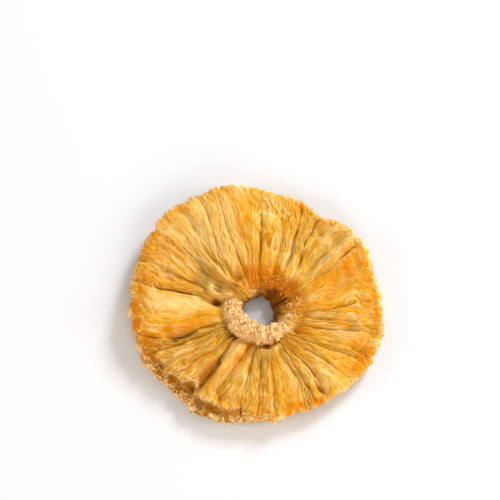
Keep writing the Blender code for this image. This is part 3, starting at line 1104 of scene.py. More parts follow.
# Painted brown shade in deep folds, pockets and nicks, and on the shaded sides.
BROWN_SHADE = swells(
    (174, 0.93, 0.60, 14, 0.09),
    (216, 0.86, 0.30, 13, 0.13),
    (200, 0.66, 0.65, 4.0, 0.17),
    (229.5, 0.62, 1.0, 2.5, 0.24),
    (172, 0.25, 0.5, 4.0, 0.035),
    (222, 0.19, 0.8, 5.0, 0.060),
    (208, 0.23, 0.5, 6.0, 0.050),
    (274, 0.19, 0.7, 3.0, 0.040),
    (93.5, 0.55, 0.9, 1.0, 0.060),
    (159, 0.72, 0.7, 1.5, 0.120),
    (129, 0.19, 0.6, 9.0, 0.045),
    (256, 0.90, 0.7, 2.0, 0.060),
    (232, 0.94, 0.7, 7.0, 0.060),
    (335, 0.90, 0.7, 2.5, 0.050),
    (303, 0.85, 0.7, 1.5, 0.040),
    (60, 0.91, 1.0, 1.3, 0.030),
    (85, 0.46, 0.4, 8.0, 0.050),
    (224, 0.52, 0.22, 16.0, 0.22),
    (156, 0.76, 0.20, 11.0, 0.14),
    (250, 0.72, 0.25, 13.0, 0.16),
)

# Greyish olive places, where the flesh has dulled.
OLIVE = swells(
    (141, 0.52, 0.8, 5, 0.12),
    (212, 0.55, 0.3, 12, 0.25),
    (255, 0.70, 0.25, 14, 0.25),
    (134, 0.72, 0.35, 15, 0.22),
    (152, 0.42, 0.6, 7, 0.06),
    (287, 0.40, 0.7, 4, 0.07),
    (272, 0.55, 0.4, 3, 0.20),
    (243, 0.50, 0.4, 3, 0.15),
    (350, 0.35, 0.4, 3, 0.15),
    (215, 0.22, 0.4, 9, 0.10),
)

# Pale straw flaps and lips, and painted highlights on ridges and lobes.
PALE_AND_HIGHLIGHTS = swells(
    (300, 0.64, 0.45, 6, 0.10),
    (157, 0.30, 0.50, 8, 0.08),
    (270, 0.34, 0.40, 8, 0.08),
    (178, 0.56, 1.6, 5.0, 0.26),
    (142, 0.66, 0.35, 20.0, 0.26),
    (124, 0.80, 0.45, 16.0, 0.18),
    (50, 0.84, 0.5, 14.0, 0.14),
    (291, 0.72, 0.6, 5.0, 0.14),
    (112, 0.60, 0.6, 7.0, 0.30),
    (127, 0.45, 0.6, 6.0, 0.20),
    (64, 0.50, 0.5, 4.0, 0.25),
    (39, 0.65, 0.9, 3.0, 0.28),
    (48, 0.94, 0.9, 4.0, 0.05),
    (101, 0.95, 0.8, 3.0, 0.05),
    (237, 0.55, 0.5, 4.0, 0.20),
    (219, 0.82, 1.0, 6.0, 0.035),
    (262, 0.96, 0.8, 5.0, 0.05),
    (312, 0.80, 0.9, 4.0, 0.11),
    (306, 0.68, 0.5, 5.0, 0.12),
    (352, 0.30, 0.6, 10.0, 0.08),
    (343, 0.62, 0.9, 2.2, 0.20),
    (288, 0.50, 0.8, 2.5, 0.07),
    (150, 0.22, 0.7, 9.0, 0.05),
    (12, 0.30, 0.6, 4.0, 0.20),
)

# Where the fibres are faint.
CALM = swells(
    (142, 0.72, 0.8, 19, 0.20),
    (110, 0.75, 0.7, 9, 0.22),
    (50, 0.72, 0.6, 6, 0.22),
    (20, 0.78, 0.8, 12, 0.22),
    (182, 0.60, 0.8, 10, 0.36),
    (320, 0.70, 0.5, 14, 0.22),
    (283, 0.70, 0.5, 5, 0.20),
)

# Where the flesh is crumpled across its fibres.
CRUMPLED = swells(
    (164, 0.70, 1.0, 6, 0.20),
    (150, 0.30, 0.8, 10, 0.10),
    (202, 0.72, 1.0, 6, 0.18),
    (206, 0.28, 0.8, 14, 0.10),
    (228, 0.55, 0.6, 4, 0.25),
    (285, 0.32, 0.6, 9, 0.08),
    (330, 0.90, 0.8, 9, 0.09),
    (50, 0.60, 0.5, 7, 0.20),
    (240, 0.93, 0.9, 12, 0.06),
)


class Welt(NamedTuple):
    """A narrow raised fold of the skin that runs through a few places."""

    angles: tuple[float, ...]
    shares: tuple[float, ...]
    height: float
    width: float


# Two beside the pit at the collar's left, one curl below the collar, and one long fold.
WELTS = (
    Welt(angles=(142, 138, 141, 140, 133), shares=(0.46, 0.38, 0.29, 0.21, 0.14), height=2.0, width=0.75),
    Welt(angles=(153, 161, 166, 163, 158), shares=(0.33, 0.31, 0.26, 0.19, 0.13), height=2.4, width=0.70),
    Welt(angles=(264, 270, 277, 284, 289), shares=(0.25, 0.29, 0.30, 0.28, 0.25), height=2.2, width=0.75),
    Welt(angles=(40, 38.5, 38, 36), shares=(0.93, 0.78, 0.60, 0.38), height=0.9, width=1.10),
)


class SectionRow(NamedTuple):
    """One row of the skin's grid: where it lies on the section, and which way it faces."""

    share: float
    level: float
    out: float
    up: float


@dataclass(frozen=True)
class SkinGrid:
    """The grid of the skin: columns follow the fibres and rows go round the section."""

    columns_per_pleat: int = 32
    top_rows: int = 66
    outer_rows: int = 8
    inner_rows: int = 6
    bottom_rows: int = 9
    rounding: float = 0.045
    # Rows crowd together at both walls: their places on the way out, and their shares.
    crowd_places: tuple[float, ...] = (0.0, 0.20, 0.62, 0.88, 1.0)
    crowd_shares: tuple[float, ...] = (0.0, 0.16, 0.74, 0.93, 1.0)

    @property
    def columns(self) -> int:
        """The number of columns round the ring."""
        return self.columns_per_pleat * len(PLEATS)

    def rows(self) -> list[SectionRow]:
        """Goes round the section from the middle of the outer wall, over the top and back below.

        Returns:
            The rows in that order.
        """
        narrow = 1 - 2 * self.rounding
        places = [1 - i / self.top_rows for i in range(self.top_rows + 1)]
        top = np.interp(places, self.crowd_places, self.crowd_shares)
        bottom = [i / self.bottom_rows for i in range(self.bottom_rows + 1)]
        rows = [SectionRow(self.rounding + s * narrow, 1.0, 0.0, 1.0) for s in top]
        rows += self.wall(self.inner_rows, False)
        rows += [SectionRow(self.rounding + s * narrow, -1.0, 0.0, -1.0) for s in bottom]
        outer = self.wall(self.outer_rows, True)
        middle = self.outer_rows // 2
        return outer[middle:] + rows + outer[:middle]

    def wall(self, count: int, outer: bool) -> list[SectionRow]:
        """Lists a wall's rows, upwards on the outer wall and downwards in the hole.

        Args:
            count: How many rows there are.
            outer: Whether it is the outer wall.

        Returns:
            The rows.
        """
        found = []
        way = 1 if outer else -1
        for step in range(1, count + 1):
            angle = math.pi * (step / (count + 1) - 0.5)
            inset = self.rounding * (1 - math.cos(angle))
            out, up = way * math.cos(angle), way * math.sin(angle)
            found.append(SectionRow(1 - inset if outer else inset, up, out, up))
        return found


class Spot(NamedTuple):
    """Places on the skin, and the fibres that pass through them.

    The level is -1 on the underside to 1 on top. The strand is the wavering turn that the fibres read.
    """

    turn: Array
    share: Array
    level: Array
    angle: Array
    index: Array
    across: Array
    width: Array
    strand: Array

    @property
    def under(self) -> Array:
        """Whether each place is on the underside."""
        return self.level < 0

    @property
    def sunny(self) -> Array:
        """Whether each place is on top."""
        return self.level > 0


class Zones(NamedTuple):
    """How far each place belongs to each zone of the skin, from 0 to 1."""

    collar: Array
    throat: Array
    recess_shade: Array
    rim: Array
    cut: Array
    edge: Array
    calm: Array
    crumpled: Array
    torn: Array
    lip: Array


@dataclass(frozen=True)
class ZoneMap:
    """Where the zones lie: a span is where a zone begins to fade and where it has gone."""

    collar_span: Span = (0.14, 0.20)
    collar_side_span: Span = (0.42, 0.66)
    collar_wobble: Ripple = Ripple(seed=41, height=0.10, cells_round=60, cells_along=8)
    rusty_angle: float = 67.0
    rusty_span: Span = (36.0, 80.0)
    throat_span: Span = (0.13, 0.29)
    throat_wobble: Ripple = Ripple(seed=66, height=0.07, cells_round=70, cells_along=1)
    hole_shade_span: Span = (0.035, 0.085)
    wall_levels: Span = (0.35, 0.85)
    wall_span: Span = (0.05, 0.12)
    rim_angle: float = 116.0
    rim_spread: float = 20.0
    rim_share: float = 0.035
    rim_width: float = 0.022
    cut_angle: float = 306.0
    cut_spread: float = 30.0
    edge_span: Span = (0.95, 1.0)
    lip_inset: float = 0.016
    lip_width: float = 0.020

    def find(self, form: RingForm, spot: Spot) -> Zones:
        """Finds the zones.

        Args:
            form: The ring's large shape.
            spot: Places on the skin.

        Returns:
            Each zone at each place.
        """
        angle, share, sunny = spot.angle, spot.share, spot.sunny
        side = form.collar_side(angle) + self.collar_wobble.over(spot.turn, share)
        collar = (1 - rise(share, *self.collar_span)) * rise(side, *self.collar_side_span)
        rusty = 1 - rise(np.abs(turned_from(angle, self.rusty_angle)), *self.rusty_span)
        rim = beside(angle, self.rim_angle, self.rim_spread)
        rim = rim * bell(share - self.rim_share, self.rim_width) * sunny
        ragged = share + self.throat_wobble.over(spot.strand, share)
        # Painted shade in recesses: the hole's far rim and lower walls, and the two pits beside the collar.
        recess_shade = (1 - rise(share, *self.hole_shade_span)) * (1 - collar) * rusty * (1 - rim)
        wall = (1 - rise(spot.level, *self.wall_levels)) * (1 - rise(share, *self.wall_span))
        inward = form.torn_line(spot.turn, angle, share) - share
        return Zones(
            collar=collar,
            throat=(1 - rise(ragged, *self.throat_span)) * (1 - collar) * rusty,
            recess_shade=np.maximum(recess_shade, wall) + total_swell(PIT_SHADE, angle, share) * sunny,
            rim=rim,
            cut=beside(angle, self.cut_angle, self.cut_spread),
            edge=rise(share, *self.edge_span),
            calm=np.clip(total_swell(CALM, angle, share), 0, 1) * sunny,
            crumpled=np.clip(total_swell(CRUMPLED, angle, share), 0, 1) * sunny,
            torn=form.torn_down(spot.turn, angle, share) * sunny,
            lip=bell(inward - self.lip_inset, self.lip_width) * form.near_ledge(angle) * sunny,
        )


class Weave(NamedTuple):
    """What the fibres and creases are like at each place."""

    bundle: Cords
    outer: Cords
    arch: Array
    strength: Array
    fineness: Array
    creasing: Array
    bridged: Array
    ridge: Array


@dataclass(frozen=True)
class Fibres:
    """Bundles of fibres, single fibres that split on the way out, and ridges that run along them."""

    bundles: FibreLayer = FibreLayer(count=104, wander=0.012, seed=100)
    inner: FibreLayer = FibreLayer(count=170, wander=0.010, seed=200)
    outer: FibreLayer = FibreLayer(count=286, wander=0.010, seed=300)
    split_span: Span = (0.36, 0.60)
    strength: OwnValue = OwnValue(seed=51, mean=0.8, spread=0.8, cells=6)
    fineness: OwnValue = OwnValue(seed=52, mean=0.85, spread=0.7, cells=8)
    strength_calmed: float = 0.65
    fineness_calmed: float = 0.30
    # Fibres bridge each crease by at least the first part, and by up to the second more in places.
    bridge_least: float = 0.15
    bridge_more: float = 0.60
    bridge_calm: float = 0.75
    bridge_span: Span = (-0.2, 0.4)
    bridge_places: Ripple = Ripple(seed=59, height=1.0, cells_round=90, cells_along=9)
    ridge_lines: Ripple = Ripple(seed=60, height=1.0, cells_round=150, cells_along=6)
    ridge_sharpness: float = 2.4
    ridge_span: Span = (0.18, 0.34)

    def weave(self, form: RingForm, spot: Spot, calm: Array) -> Weave:
        """Lays the fibres.

        Args:
            form: The ring's large shape.
            spot: Places on the skin.
            calm: How faint the fibres are at each place, from 0 to 1.

        Returns:
            What the fibres and creases are like at each place.
        """
        strand, share = spot.strand, spot.share
        bundle = self.bundles.cords(strand, share)
        inner = self.inner.cords(strand, share)
        outer = self.outer.cords(strand, share)
        split = rise(share, *self.split_span)
        strength = self.bundles.each(self.strength, bundle.number, share)
        fineness = self.outer.each(self.fineness, outer.number, share)
        places = rise(self.bridge_places.over(strand, share), *self.bridge_span)
        bridged = self.bridge_least + self.bridge_more * places
        lines = 1 - self.ridge_sharpness * np.abs(self.ridge_lines.over(strand, share))
        return Weave(
            bundle=bundle,
            outer=outer,
            arch=inner.arch * (1 - split) + outer.arch * split,
            strength=strength * (1 - self.strength_calmed * calm),
            fineness=fineness * (1 - self.fineness_calmed * calm),
            creasing=form.creasing(spot.index, spot.across, spot.width, share),
            bridged=np.maximum(bridged, self.bridge_calm * calm) * spot.sunny,
            ridge=np.clip(lines, 0, 1) ** 2 * rise(share, *self.ridge_span),
        )


@dataclass(frozen=True)
class SkinRelief:
    """The heights of the fine relief: fibres, ridges, waves, crumples, knobs and crumbs."""

    bundle_height: float = 0.25
    fibre_height: float = 0.33
    arch_middle: float = 0.6
    ridge_height: float = 0.32
    ridge_calmed: float = 0.6
    nubs: Ripple = Ripple(seed=44, height=0.12, cells_round=204, cells_along=26)
    nubs_span: Span = (0.1, 0.3)
    grit: Ripple = Ripple(seed=55, height=0.10, cells_round=290, cells_along=44)
    grit_slant: float = 0.02
    waves: Ripple = Ripple(seed=42, height=0.24, cells_round=84, cells_along=12)
    waves_span: Span = (0.15, 0.3)
    waves_calmed: float = 0.7
    crumples: Ripple = Ripple(seed=56, height=1.0, cells_round=96, cells_along=46)
    crumple_height: float = 0.38
    crumple_slant: float = 0.06
    collar_flattened: float = 0.85
    throat_flattened: float = 0.5
    # Knobs and crumbs run on over the edge, and stand on the edge, the collar, the throat and the ledge.
    crumbs: Ripple = Ripple(seed=45, height=1.0, cells_round=420, cells_along=90, closed=True)
    knobs: Ripple = Ripple(seed=46, height=1.0, cells_round=96, cells_along=80, closed=True)
    knob_middle: float = 0.4
    cut_cleaned: float = 0.8
    edge_crumbs: float = 0.45
    edge_knobs: float = 0.75
    collar_knobs: float = 0.7
    throat_part: float = 0.7
    ledge_crumbs: float = 0.50
    ledge_knobs: float = 0.60
    lip_height: float = 0.55

    def height(self, form: RingForm, spot: Spot, zones: Zones, weave: Weave, welt: Array) -> Array:
        """Adds up the relief.

        Args:
            form: The ring's large shape.
            spot: Places on the skin.
            zones: The zones there.
            weave: The fibres there.
            welt: The height of the welts there, in millimetres.

        Returns:
            The height of the relief in millimetres.
        """
        strand, share = spot.strand, spot.share
        height = self.bundle_height * weave.strength * (weave.bundle.arch - self.arch_middle)
        height += form.crease_depth * weave.creasing * weave.bridged
        height += self.ridge_height * weave.ridge * (1 - self.ridge_calmed * zones.calm)
        height += self.fibre_height * weave.fineness * (weave.arch - self.arch_middle)
        height += self.nubs.over(strand, share) * rise(share, *self.nubs_span)
        height += self.grit.over(strand + self.grit_slant * share, share)
        waves = self.waves.over(strand, share) * rise(share, *self.waves_span)
        height += waves * (1 - self.waves_calmed * zones.calm)
        crumples = self.crumples.over(strand + self.crumple_slant * share, share)
        height += self.crumple_height * zones.crumpled * crumples
        height *= 1 - self.collar_flattened * zones.collar - self.throat_flattened * zones.throat
        path = np.where(spot.under, 0.5 + 0.5 * share, 0.5 - 0.5 * share)
        crumbs = np.abs(self.crumbs.over(spot.turn, path)) - self.knob_middle
        knobs = np.abs(self.knobs.over(spot.turn, path)) - self.knob_middle
        rough = zones.edge * (1 - self.cut_cleaned * zones.cut)
        height += rough * (self.edge_crumbs * crumbs + self.edge_knobs * knobs)
        height += (zones.collar + self.throat_part * zones.throat) * self.collar_knobs * knobs
        height += self.lip_height * zones.lip + welt * spot.sunny
        height += zones.torn * (self.ledge_crumbs * crumbs + self.ledge_knobs * knobs)
        return height


@dataclass(frozen=True)
class SkinMarks:
    """The marks on the skin that its finish reads, each from 0 to 1; some paint shade into valleys,
    creases, hollows and the hole, and highlights onto ridges.
    """

    # Painted shade in the valleys between cords and in open creases.
    valley_shade_part: float = 0.75
    valley_shade_ridged: float = 0.6
    crease_full: float = 1.4
    crease_shade_power: float = 1.3
    bundle_tone: OwnValue = OwnValue(seed=53, mean=0.0, spread=0.15, cells=3)
    fibre_tone: OwnValue = OwnValue(seed=54, mean=0.0, spread=0.32, cells=4)
    # Painted highlight along the raised ridge lines.
    ridge_highlight: float = 0.24
    ridge_middle: float = 0.25
    broad_tone: Ripple = Ripple(seed=57, height=0.11, cells_round=46, cells_along=9)
    fine_tone: Ripple = Ripple(seed=58, height=0.12, cells_round=150, cells_along=30)
    mottle_middle: float = 0.8
    mottle: Ripple = Ripple(seed=47, height=0.5, cells_round=170, cells_along=16)
    fray_span: Span = (0.86, 0.97)
    fray_places: Ripple = Ripple(seed=48, height=1.0, cells_round=60, cells_along=6)
    fray_places_span: Span = (-0.2, 0.5)
    fray_amber: float = 0.4
    under_amber: float = 0.35
    torn_amber: float = 0.45
    # Painted shadow along the torn line, and a browner lower ledge.
    torn_line_shadow: float = 2.4
    torn_brown: float = 0.60
    # Painted highlight on the welts' crests.
    welt_highlight: float = 0.9
    edge_cut: float = 0.6
    edge_lip: float = 0.9
    edge_torn: float = 0.25
    edge_rim: float = 0.8

    def read(
        self, fibres: Fibres, spot: Spot, zones: Zones, weave: Weave, welt: Array
    ) -> dict[str, Array]:
        """Works out the marks.

        Args:
            fibres: The fibre layers.
            spot: Places on the skin.
            zones: The zones there.
            weave: The fibres there.
            welt: How near a welt each place is, from 0 to 1.

        Returns:
            Each mark by its name.
        """
        angle, share, strand, sunny = spot.angle, spot.share, spot.strand, spot.sunny
        # Painted shade in the troughs between cords.
        troughs = (1 - weave.bundle.arch) * weave.strength
        valley_shade = np.maximum(troughs, self.valley_shade_part * (1 - weave.arch) * weave.fineness)
        # Painted shade in the creases that fibres leave open.
        open_crease = weave.creasing * (1 - weave.bridged) / self.crease_full
        tone = fibres.bundles.each(self.bundle_tone, weave.bundle.number, share)
        # Painted highlight along the raised ridge lines.
        tone = tone + self.ridge_highlight * (weave.ridge - self.ridge_middle)
        tone = tone + fibres.outer.each(self.fibre_tone, weave.outer.number, share)
        tone = tone + self.broad_tone.over(strand, share)
        tone = tone + self.fine_tone.over(strand, share)
        mottle = self.mottle_middle + self.mottle.over(strand, share)
        frayed = rise(self.fray_places.over(spot.turn, share), *self.fray_places_span)
        fray = rise(share, *self.fray_span) * frayed
        amber = total_swell(AMBER, angle, share) * mottle * sunny + self.fray_amber * fray
        amber = amber + np.where(spot.under, self.under_amber, 0.0) + self.torn_amber * zones.torn
        # Painted brown shade in hollows and along the torn line, and browner on the lower ledge.
        brown = total_swell(BROWN_SHADE, angle, share) * mottle * sunny
        brown = brown + self.torn_line_shadow * zones.torn * (1 - zones.torn)
        brown = brown + self.torn_brown * zones.torn
        # Pale straw, with painted highlights on ridges, lobes and welt crests.
        pale = (total_swell(PALE_AND_HIGHLIGHTS, angle, share) * mottle + self.welt_highlight * welt**2) * sunny
        edge = zones.edge * (1 - self.edge_cut * zones.cut) + self.edge_lip * zones.lip
        marks = {
            "valley_shade": valley_shade * (1 - self.valley_shade_ridged * weave.ridge),
            "crease": np.clip(open_crease, 0, 1) ** self.crease_shade_power * sunny,
            "tone": 0.5 + tone,
            "amber": amber,
            "brown": brown,
            "olive": total_swell(OLIVE, angle, share) * mottle * sunny,
            "pale": pale,
            "throat": zones.throat,
            "recess_shade": zones.recess_shade,
            "collar": zones.collar,
            "edge": edge + self.edge_torn * zones.torn + self.edge_rim * zones.rim,
        }
        return {name: np.clip(values, 0, 1) for name, values in marks.items()}


@dataclass
class FleshSkin:
    """The ring's skin with its fibres, and the marks that its finish reads."""

    form: RingForm = field(default_factory=RingForm)
    grid: SkinGrid = field(default_factory=SkinGrid)
    zone_map: ZoneMap = field(default_factory=ZoneMap)
    fibres: Fibres = field(default_factory=Fibres)
    fine: SkinRelief = field(default_factory=SkinRelief)
    marking: SkinMarks = field(default_factory=SkinMarks)
    # The relief leans sideways in places, and neighbouring fibres waver together.
    lean: Ripple = Ripple(seed=49, height=0.5, cells_round=20, cells_along=3)
    waver: Ripple = Ripple(seed=65, height=0.0042, cells_round=44, cells_along=12)
    waver_span: Span = (0.15, 0.40)
    # The underside reads its fibres this far round the ring, to differ from the top.
    under_turn: float = 0.37
    welt_stations: int = 28
    welt_ends_power: int = 4
    # The outline is measured at this many turns, near the edge.
    rim_stations: int = 1200
    rim_shares: Span = (0.97, 1.0)
    # How many units of the fine striation go round a radius, and how many go out from hole to edge.
    striation_round: float = 60.0
    striation_out: float = 5.0

    def __post_init__(self) -> None:
        """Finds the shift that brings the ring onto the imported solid."""
        low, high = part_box(NODE)
        stations = np.linspace(0, 1, self.rim_stations, endpoint=False)
        turn, share = np.meshgrid(stations, self.rim_shares)
        angle = self.form.fibre_angle(turn, share)[0]
        x, y = across_plan(angle, self.form.radius(turn, angle, share, np.ones(turn.shape)))
        self.shift = np.array(
            [
                (low.x + high.x) / 2 / MM - (x.min() + x.max()) / 2,
                (low.y + high.y) / 2 / MM - (y.min() + y.max()) / 2,
                low.z / MM,
            ]
        )

    def relief(self, turn: Array, share: Array, level: Array) -> tuple[Array, dict[str, Array]]:
        """Works out the fine relief and its marks.

        Args:
            turn: The turn of each place.
            share: How far out it is.
            level: -1 on the underside to 1 on top.

        Returns:
            The height of the relief in millimetres, and each mark from 0 to 1.
        """
        angle, index, across, width = self.form.fibre_angle(turn, share)
        strand = self.waved(turn, share) + np.where(level < 0, self.under_turn, 0.0)
        spot = Spot(turn, share, level, angle, index, across, width, strand)
        zones = self.zone_map.find(self.form, spot)
        weave = self.fibres.weave(self.form, spot, zones.calm)
        welt_height, welt = self.welted(angle, share)
        height = self.fine.height(self.form, spot, zones, weave, welt_height)
        return height, self.marking.read(self.fibres, spot, zones, weave, welt)

    def waved(self, turn: Array, share: Array) -> Array:
        """Returns the turn that a fibre comes from, as neighbouring fibres waver together."""
        return turn + self.waver.over(turn, share) * rise(share, *self.waver_span)

    def welted(self, angle: Array, share: Array) -> tuple[Array, Array]:
        """Raises the welts.

        Args:
            angle: The angle of each place.
            share: How far out it is.

        Returns:
            The welts' height in millimetres, and how near each place is to one, from 0 to 1.
        """
        x, y = across_plan(angle, self.form.radius(angle / 360.0, angle, share, np.ones(angle.shape)))
        height, near = np.zeros(angle.shape), np.zeros(angle.shape)
        for welt in WELTS:
            given = np.linspace(0, 1, len(welt.angles))
            along = np.linspace(0, 1, self.welt_stations)
            way = np.interp(along, given, welt.angles)
            out = np.interp(along, given, welt.shares)
            way_x, way_y = across_plan(way, self.form.radius(way / 360.0, way, out, np.ones(way.shape)))
            for fading, at_x, at_y in zip(faded_ends(along, self.welt_ends_power), way_x, way_y):
                ridge = fading * bell(np.hypot(x - at_x, y - at_y), welt.width)
                height = np.maximum(height, welt.height * ridge)
                near = np.maximum(near, ridge)
        return height, near

    def points(self, turn: Array, share: Array, level: Array, out: Array, up: Array) -> Array:
        """Places points of the skin with the fine relief on them.

        Args:
            turn: The turn of each point.
            share: How far out it is.
            level: -1 on the underside to 1 on top.
            out: How far the skin faces outwards there.
            up: How far it faces upwards there.

        Returns:
            The points in metres.
        """
        angle, low, high = self.form.heights(turn, share)
        relief = self.relief(turn, share, level)[0]
        height = low + (high - low) * (level + 1) / 2 + relief * up
        radius = self.form.radius(turn, angle, share, level) + relief * out
        lean = self.lean.over(turn, share) * relief * np.abs(up)
        turned = np.radians(angle) + lean / radius
        plan = np.stack([radius * np.cos(turned), radius * np.sin(turned)], axis=-1)
        skin = np.concatenate([plan, np.maximum(height, 0.0)[..., None]], axis=-1)
        return (skin + self.shift) * MM

    def upper(self, turn: Array, share: Array) -> Array:
        """Returns points of the upper face in metres."""
        flat, up = np.zeros(turn.shape), np.ones(turn.shape)
        return self.points(turn, share, up, flat, up)

    def build(self) -> bpy.types.Object:
        """Builds the flesh.

        Returns:
            The flesh as one closed mesh with its marks.
        """
        rows = self.grid.rows()
        columns = self.grid.columns
        turn = np.repeat(np.arange(columns)[:, None] / columns, len(rows), axis=1)
        share, level, out, up = (np.tile(np.array(v), (columns, 1)) for v in zip(*rows))
        points = self.points(turn, share, level, out, up).reshape(-1, 3)
        marks = self.relief(turn, share, level)[1]
        flesh = smooth_piece("flesh_skin", points, closed_grid(columns, len(rows)), marks)
        around = 2 * math.pi * self.waved(turn, share).ravel()
        sides = [self.striation_round * np.cos(around), self.striation_round * np.sin(around)]
        store_way(flesh.data, np.stack([*sides, self.striation_out * share.ravel()], axis=-1))
        return flesh

    def piece(self, colours: Palette) -> bpy.types.Object:
        """Builds the flesh and dresses it."""
        return dressed(self.build(), FleshFinish(palette=colours).material("dried_flesh"))


def closed_grid(columns: int, rows: int) -> Array:
    """Lists the faces of a grid that joins up both ways.

    Args:
        columns: How many columns of points there are.
        rows: How many points a column has.

    Returns:
        The four corners of each face.
    """
    here = np.arange(columns * rows).reshape(columns, rows)
    across, above = np.roll(here, -1, axis=0), np.roll(here, -1, axis=1)
    corner = np.roll(across, -1, axis=1)
    return np.stack([here, across, corner, above], axis=-1).reshape(-1, 4)


def smooth_piece(name: str, points: Array, faces: Array, marks: dict[str, Array]) -> bpy.types.Object:
    """Makes a smooth mesh and puts it in the scene.

    Args:
        name: The name of the object and its mesh.
        points: The points in metres.
        faces: The corners of each face, which all have the same number of them.
        marks: One number for each point, by the name that the finish reads.

    Returns:
        The new object.
    """
    mesh = bpy.data.meshes.new(name)
    mesh.vertices.add(len(points))
    mesh.vertices.foreach_set("co", points.astype(np.float32).ravel())
    mesh.loops.add(faces.size)
    mesh.loops.foreach_set("vertex_index", faces.astype(np.int32).ravel())
    mesh.polygons.add(len(faces))
    starts = np.arange(0, faces.size, faces.shape[1], dtype=np.int32)
    mesh.polygons.foreach_set("loop_start", starts)
    mesh.update(calc_edges=True)
    mesh.validate()
    for mark, values in marks.items():
        stored = mesh.attributes.new(mark, "FLOAT", "POINT")
        stored.data.foreach_set("value", values.astype(np.float32).ravel())
    mesh.shade_smooth()
    shown = bpy.data.objects.new(name, mesh)
    bpy.context.scene.collection.objects.link(shown)
    return shown


def store_way(mesh: bpy.types.Mesh, values: Array) -> None:
    """Keeps the coordinates that run along the fibres, for fine striation."""
    way = mesh.attributes.new("way", "FLOAT_VECTOR", "POINT")
    way.data.foreach_set("vector", values.astype(np.float32).ravel())


def dressed(piece: bpy.types.Object, material: bpy.types.Material) -> bpy.types.Object:
    """Returns the piece with its material on."""
    piece.data.materials.append(material)
    return piece


def unit(vectors: Array) -> Array:
    """Returns the vectors at length 1."""
    return vectors / np.maximum(np.linalg.norm(vectors, axis=-1, keepdims=True), TINY)


@dataclass(frozen=True)
class Strands:
    """Many tapered strands as one mesh of closed tubes with an even number of sides."""

    sides: int = 6
    nearly_up: tuple[float, float, float] = (0.13, 0.07, 1.0)

    def build(self, name: str, paths: Array, radii: Array, tones: Array) -> bpy.types.Object:
        """Builds the tubes.

        Args:
            name: The object's name.
            paths: The middle of each strand, shaped strands by stations by 3, in metres.
            radii: Its radius at each station, in metres.
            tones: One tone from 0 to 1 for each strand.

        Returns:
            The strands as one object.
        """
        count, stations = radii.shape
        along = unit(np.gradient(paths, axis=1))
        across = unit(np.cross(along, np.array(self.nearly_up)))
        above = np.cross(across, along)
        angle = np.arange(self.sides) * 2 * math.pi / self.sides
        ring = np.cos(angle)[:, None] * across[:, :, None] + np.sin(angle)[:, None] * above[:, :, None]
        points = paths[:, :, None] + ring * radii[:, :, None, None]
        first = (np.arange(count) * stations * self.sides)[:, None]
        station = (np.arange(stations - 1) * self.sides)[None, :, None]
        side = np.arange(self.sides)[None, None, :]
        near = first[..., None] + station + side
        nearer = first[..., None] + station + (side + 1) % self.sides
        faces = np.stack([near, nearer, nearer + self.sides, near + self.sides], axis=-1)
        last = first + (stations - 1) * self.sides
        fans = [[0, k, k + 1, k + 2] for k in range(1, self.sides - 2, 2)]
        caps = [first + fan[::-1] for fan in fans] + [last + fan for fan in fans]
        faces = np.concatenate([faces.reshape(-1, 4), *caps])
        marks = {"tone": np.repeat(tones, stations * self.sides)}
        return smooth_piece(name, points.reshape(-1, 3), faces, marks)


def grain_ball(widest_side: float = 1.1) -> tuple[Array, Array]:
    """Makes a ball of twenty triangles, of radius 1.

    Args:
        widest_side: Corners that lie nearer to each other than this share a side.

    Returns:
        The ball's corners and its faces.
    """
    golden = (1 + math.sqrt(5)) / 2
    corners = []
    for a in (-1, 1):
        for b in (-golden, golden):
            corners += [(0, a, b), (a, b, 0), (b, 0, a)]
    ball = unit(np.array(corners, float))
    close = np.linalg.norm(ball[:, None] - ball[None], axis=-1) < widest_side
    faces = []
    for i, j, k in combinations(range(len(ball)), 3):
        if close[i, j] and close[j, k] and close[i, k]:
            outward = np.dot(np.cross(ball[j] - ball[i], ball[k] - ball[i]), ball[i]) > 0
            faces.append((i, j, k) if outward else (i, k, j))
    return ball, np.array(faces)


@dataclass(frozen=True)
class Lumps:
    """Many small rounded grains as one mesh."""

    roughness: float = 0.25
    stretch: Span = (0.7, 1.3)

    def build(self, name: str, places: Array, sizes: Array, tones: Array, seed: int) -> bpy.types.Object:
        """Builds the grains.

        Args:
            name: The object's name.
            places: The middle of each grain, in metres.
            sizes: Its radius, in millimetres.
            tones: One tone for each grain, kept from 0 to 1.
            seed: The seed of their shapes.

        Returns:
            The grains as one object.
        """
        ball, sides = grain_ball()
        count, corners = len(places), len(ball)
        draw = np.random.default_rng(seed)
        stretch = draw.uniform(*self.stretch, (count, 1, 3))
        uneven = 1 + self.roughness * draw.uniform(-1, 1, (count, corners, 1))
        points = places[:, None] + ball[None] * stretch * uneven * (sizes * MM)[:, None, None]
        faces = sides[None] + (np.arange(count) * corners)[:, None, None]
        marks = {"tone": np.repeat(np.clip(tones, 0, 1), corners)}
        return smooth_piece(name, points.reshape(-1, 3), faces.reshape(-1, 3), marks)


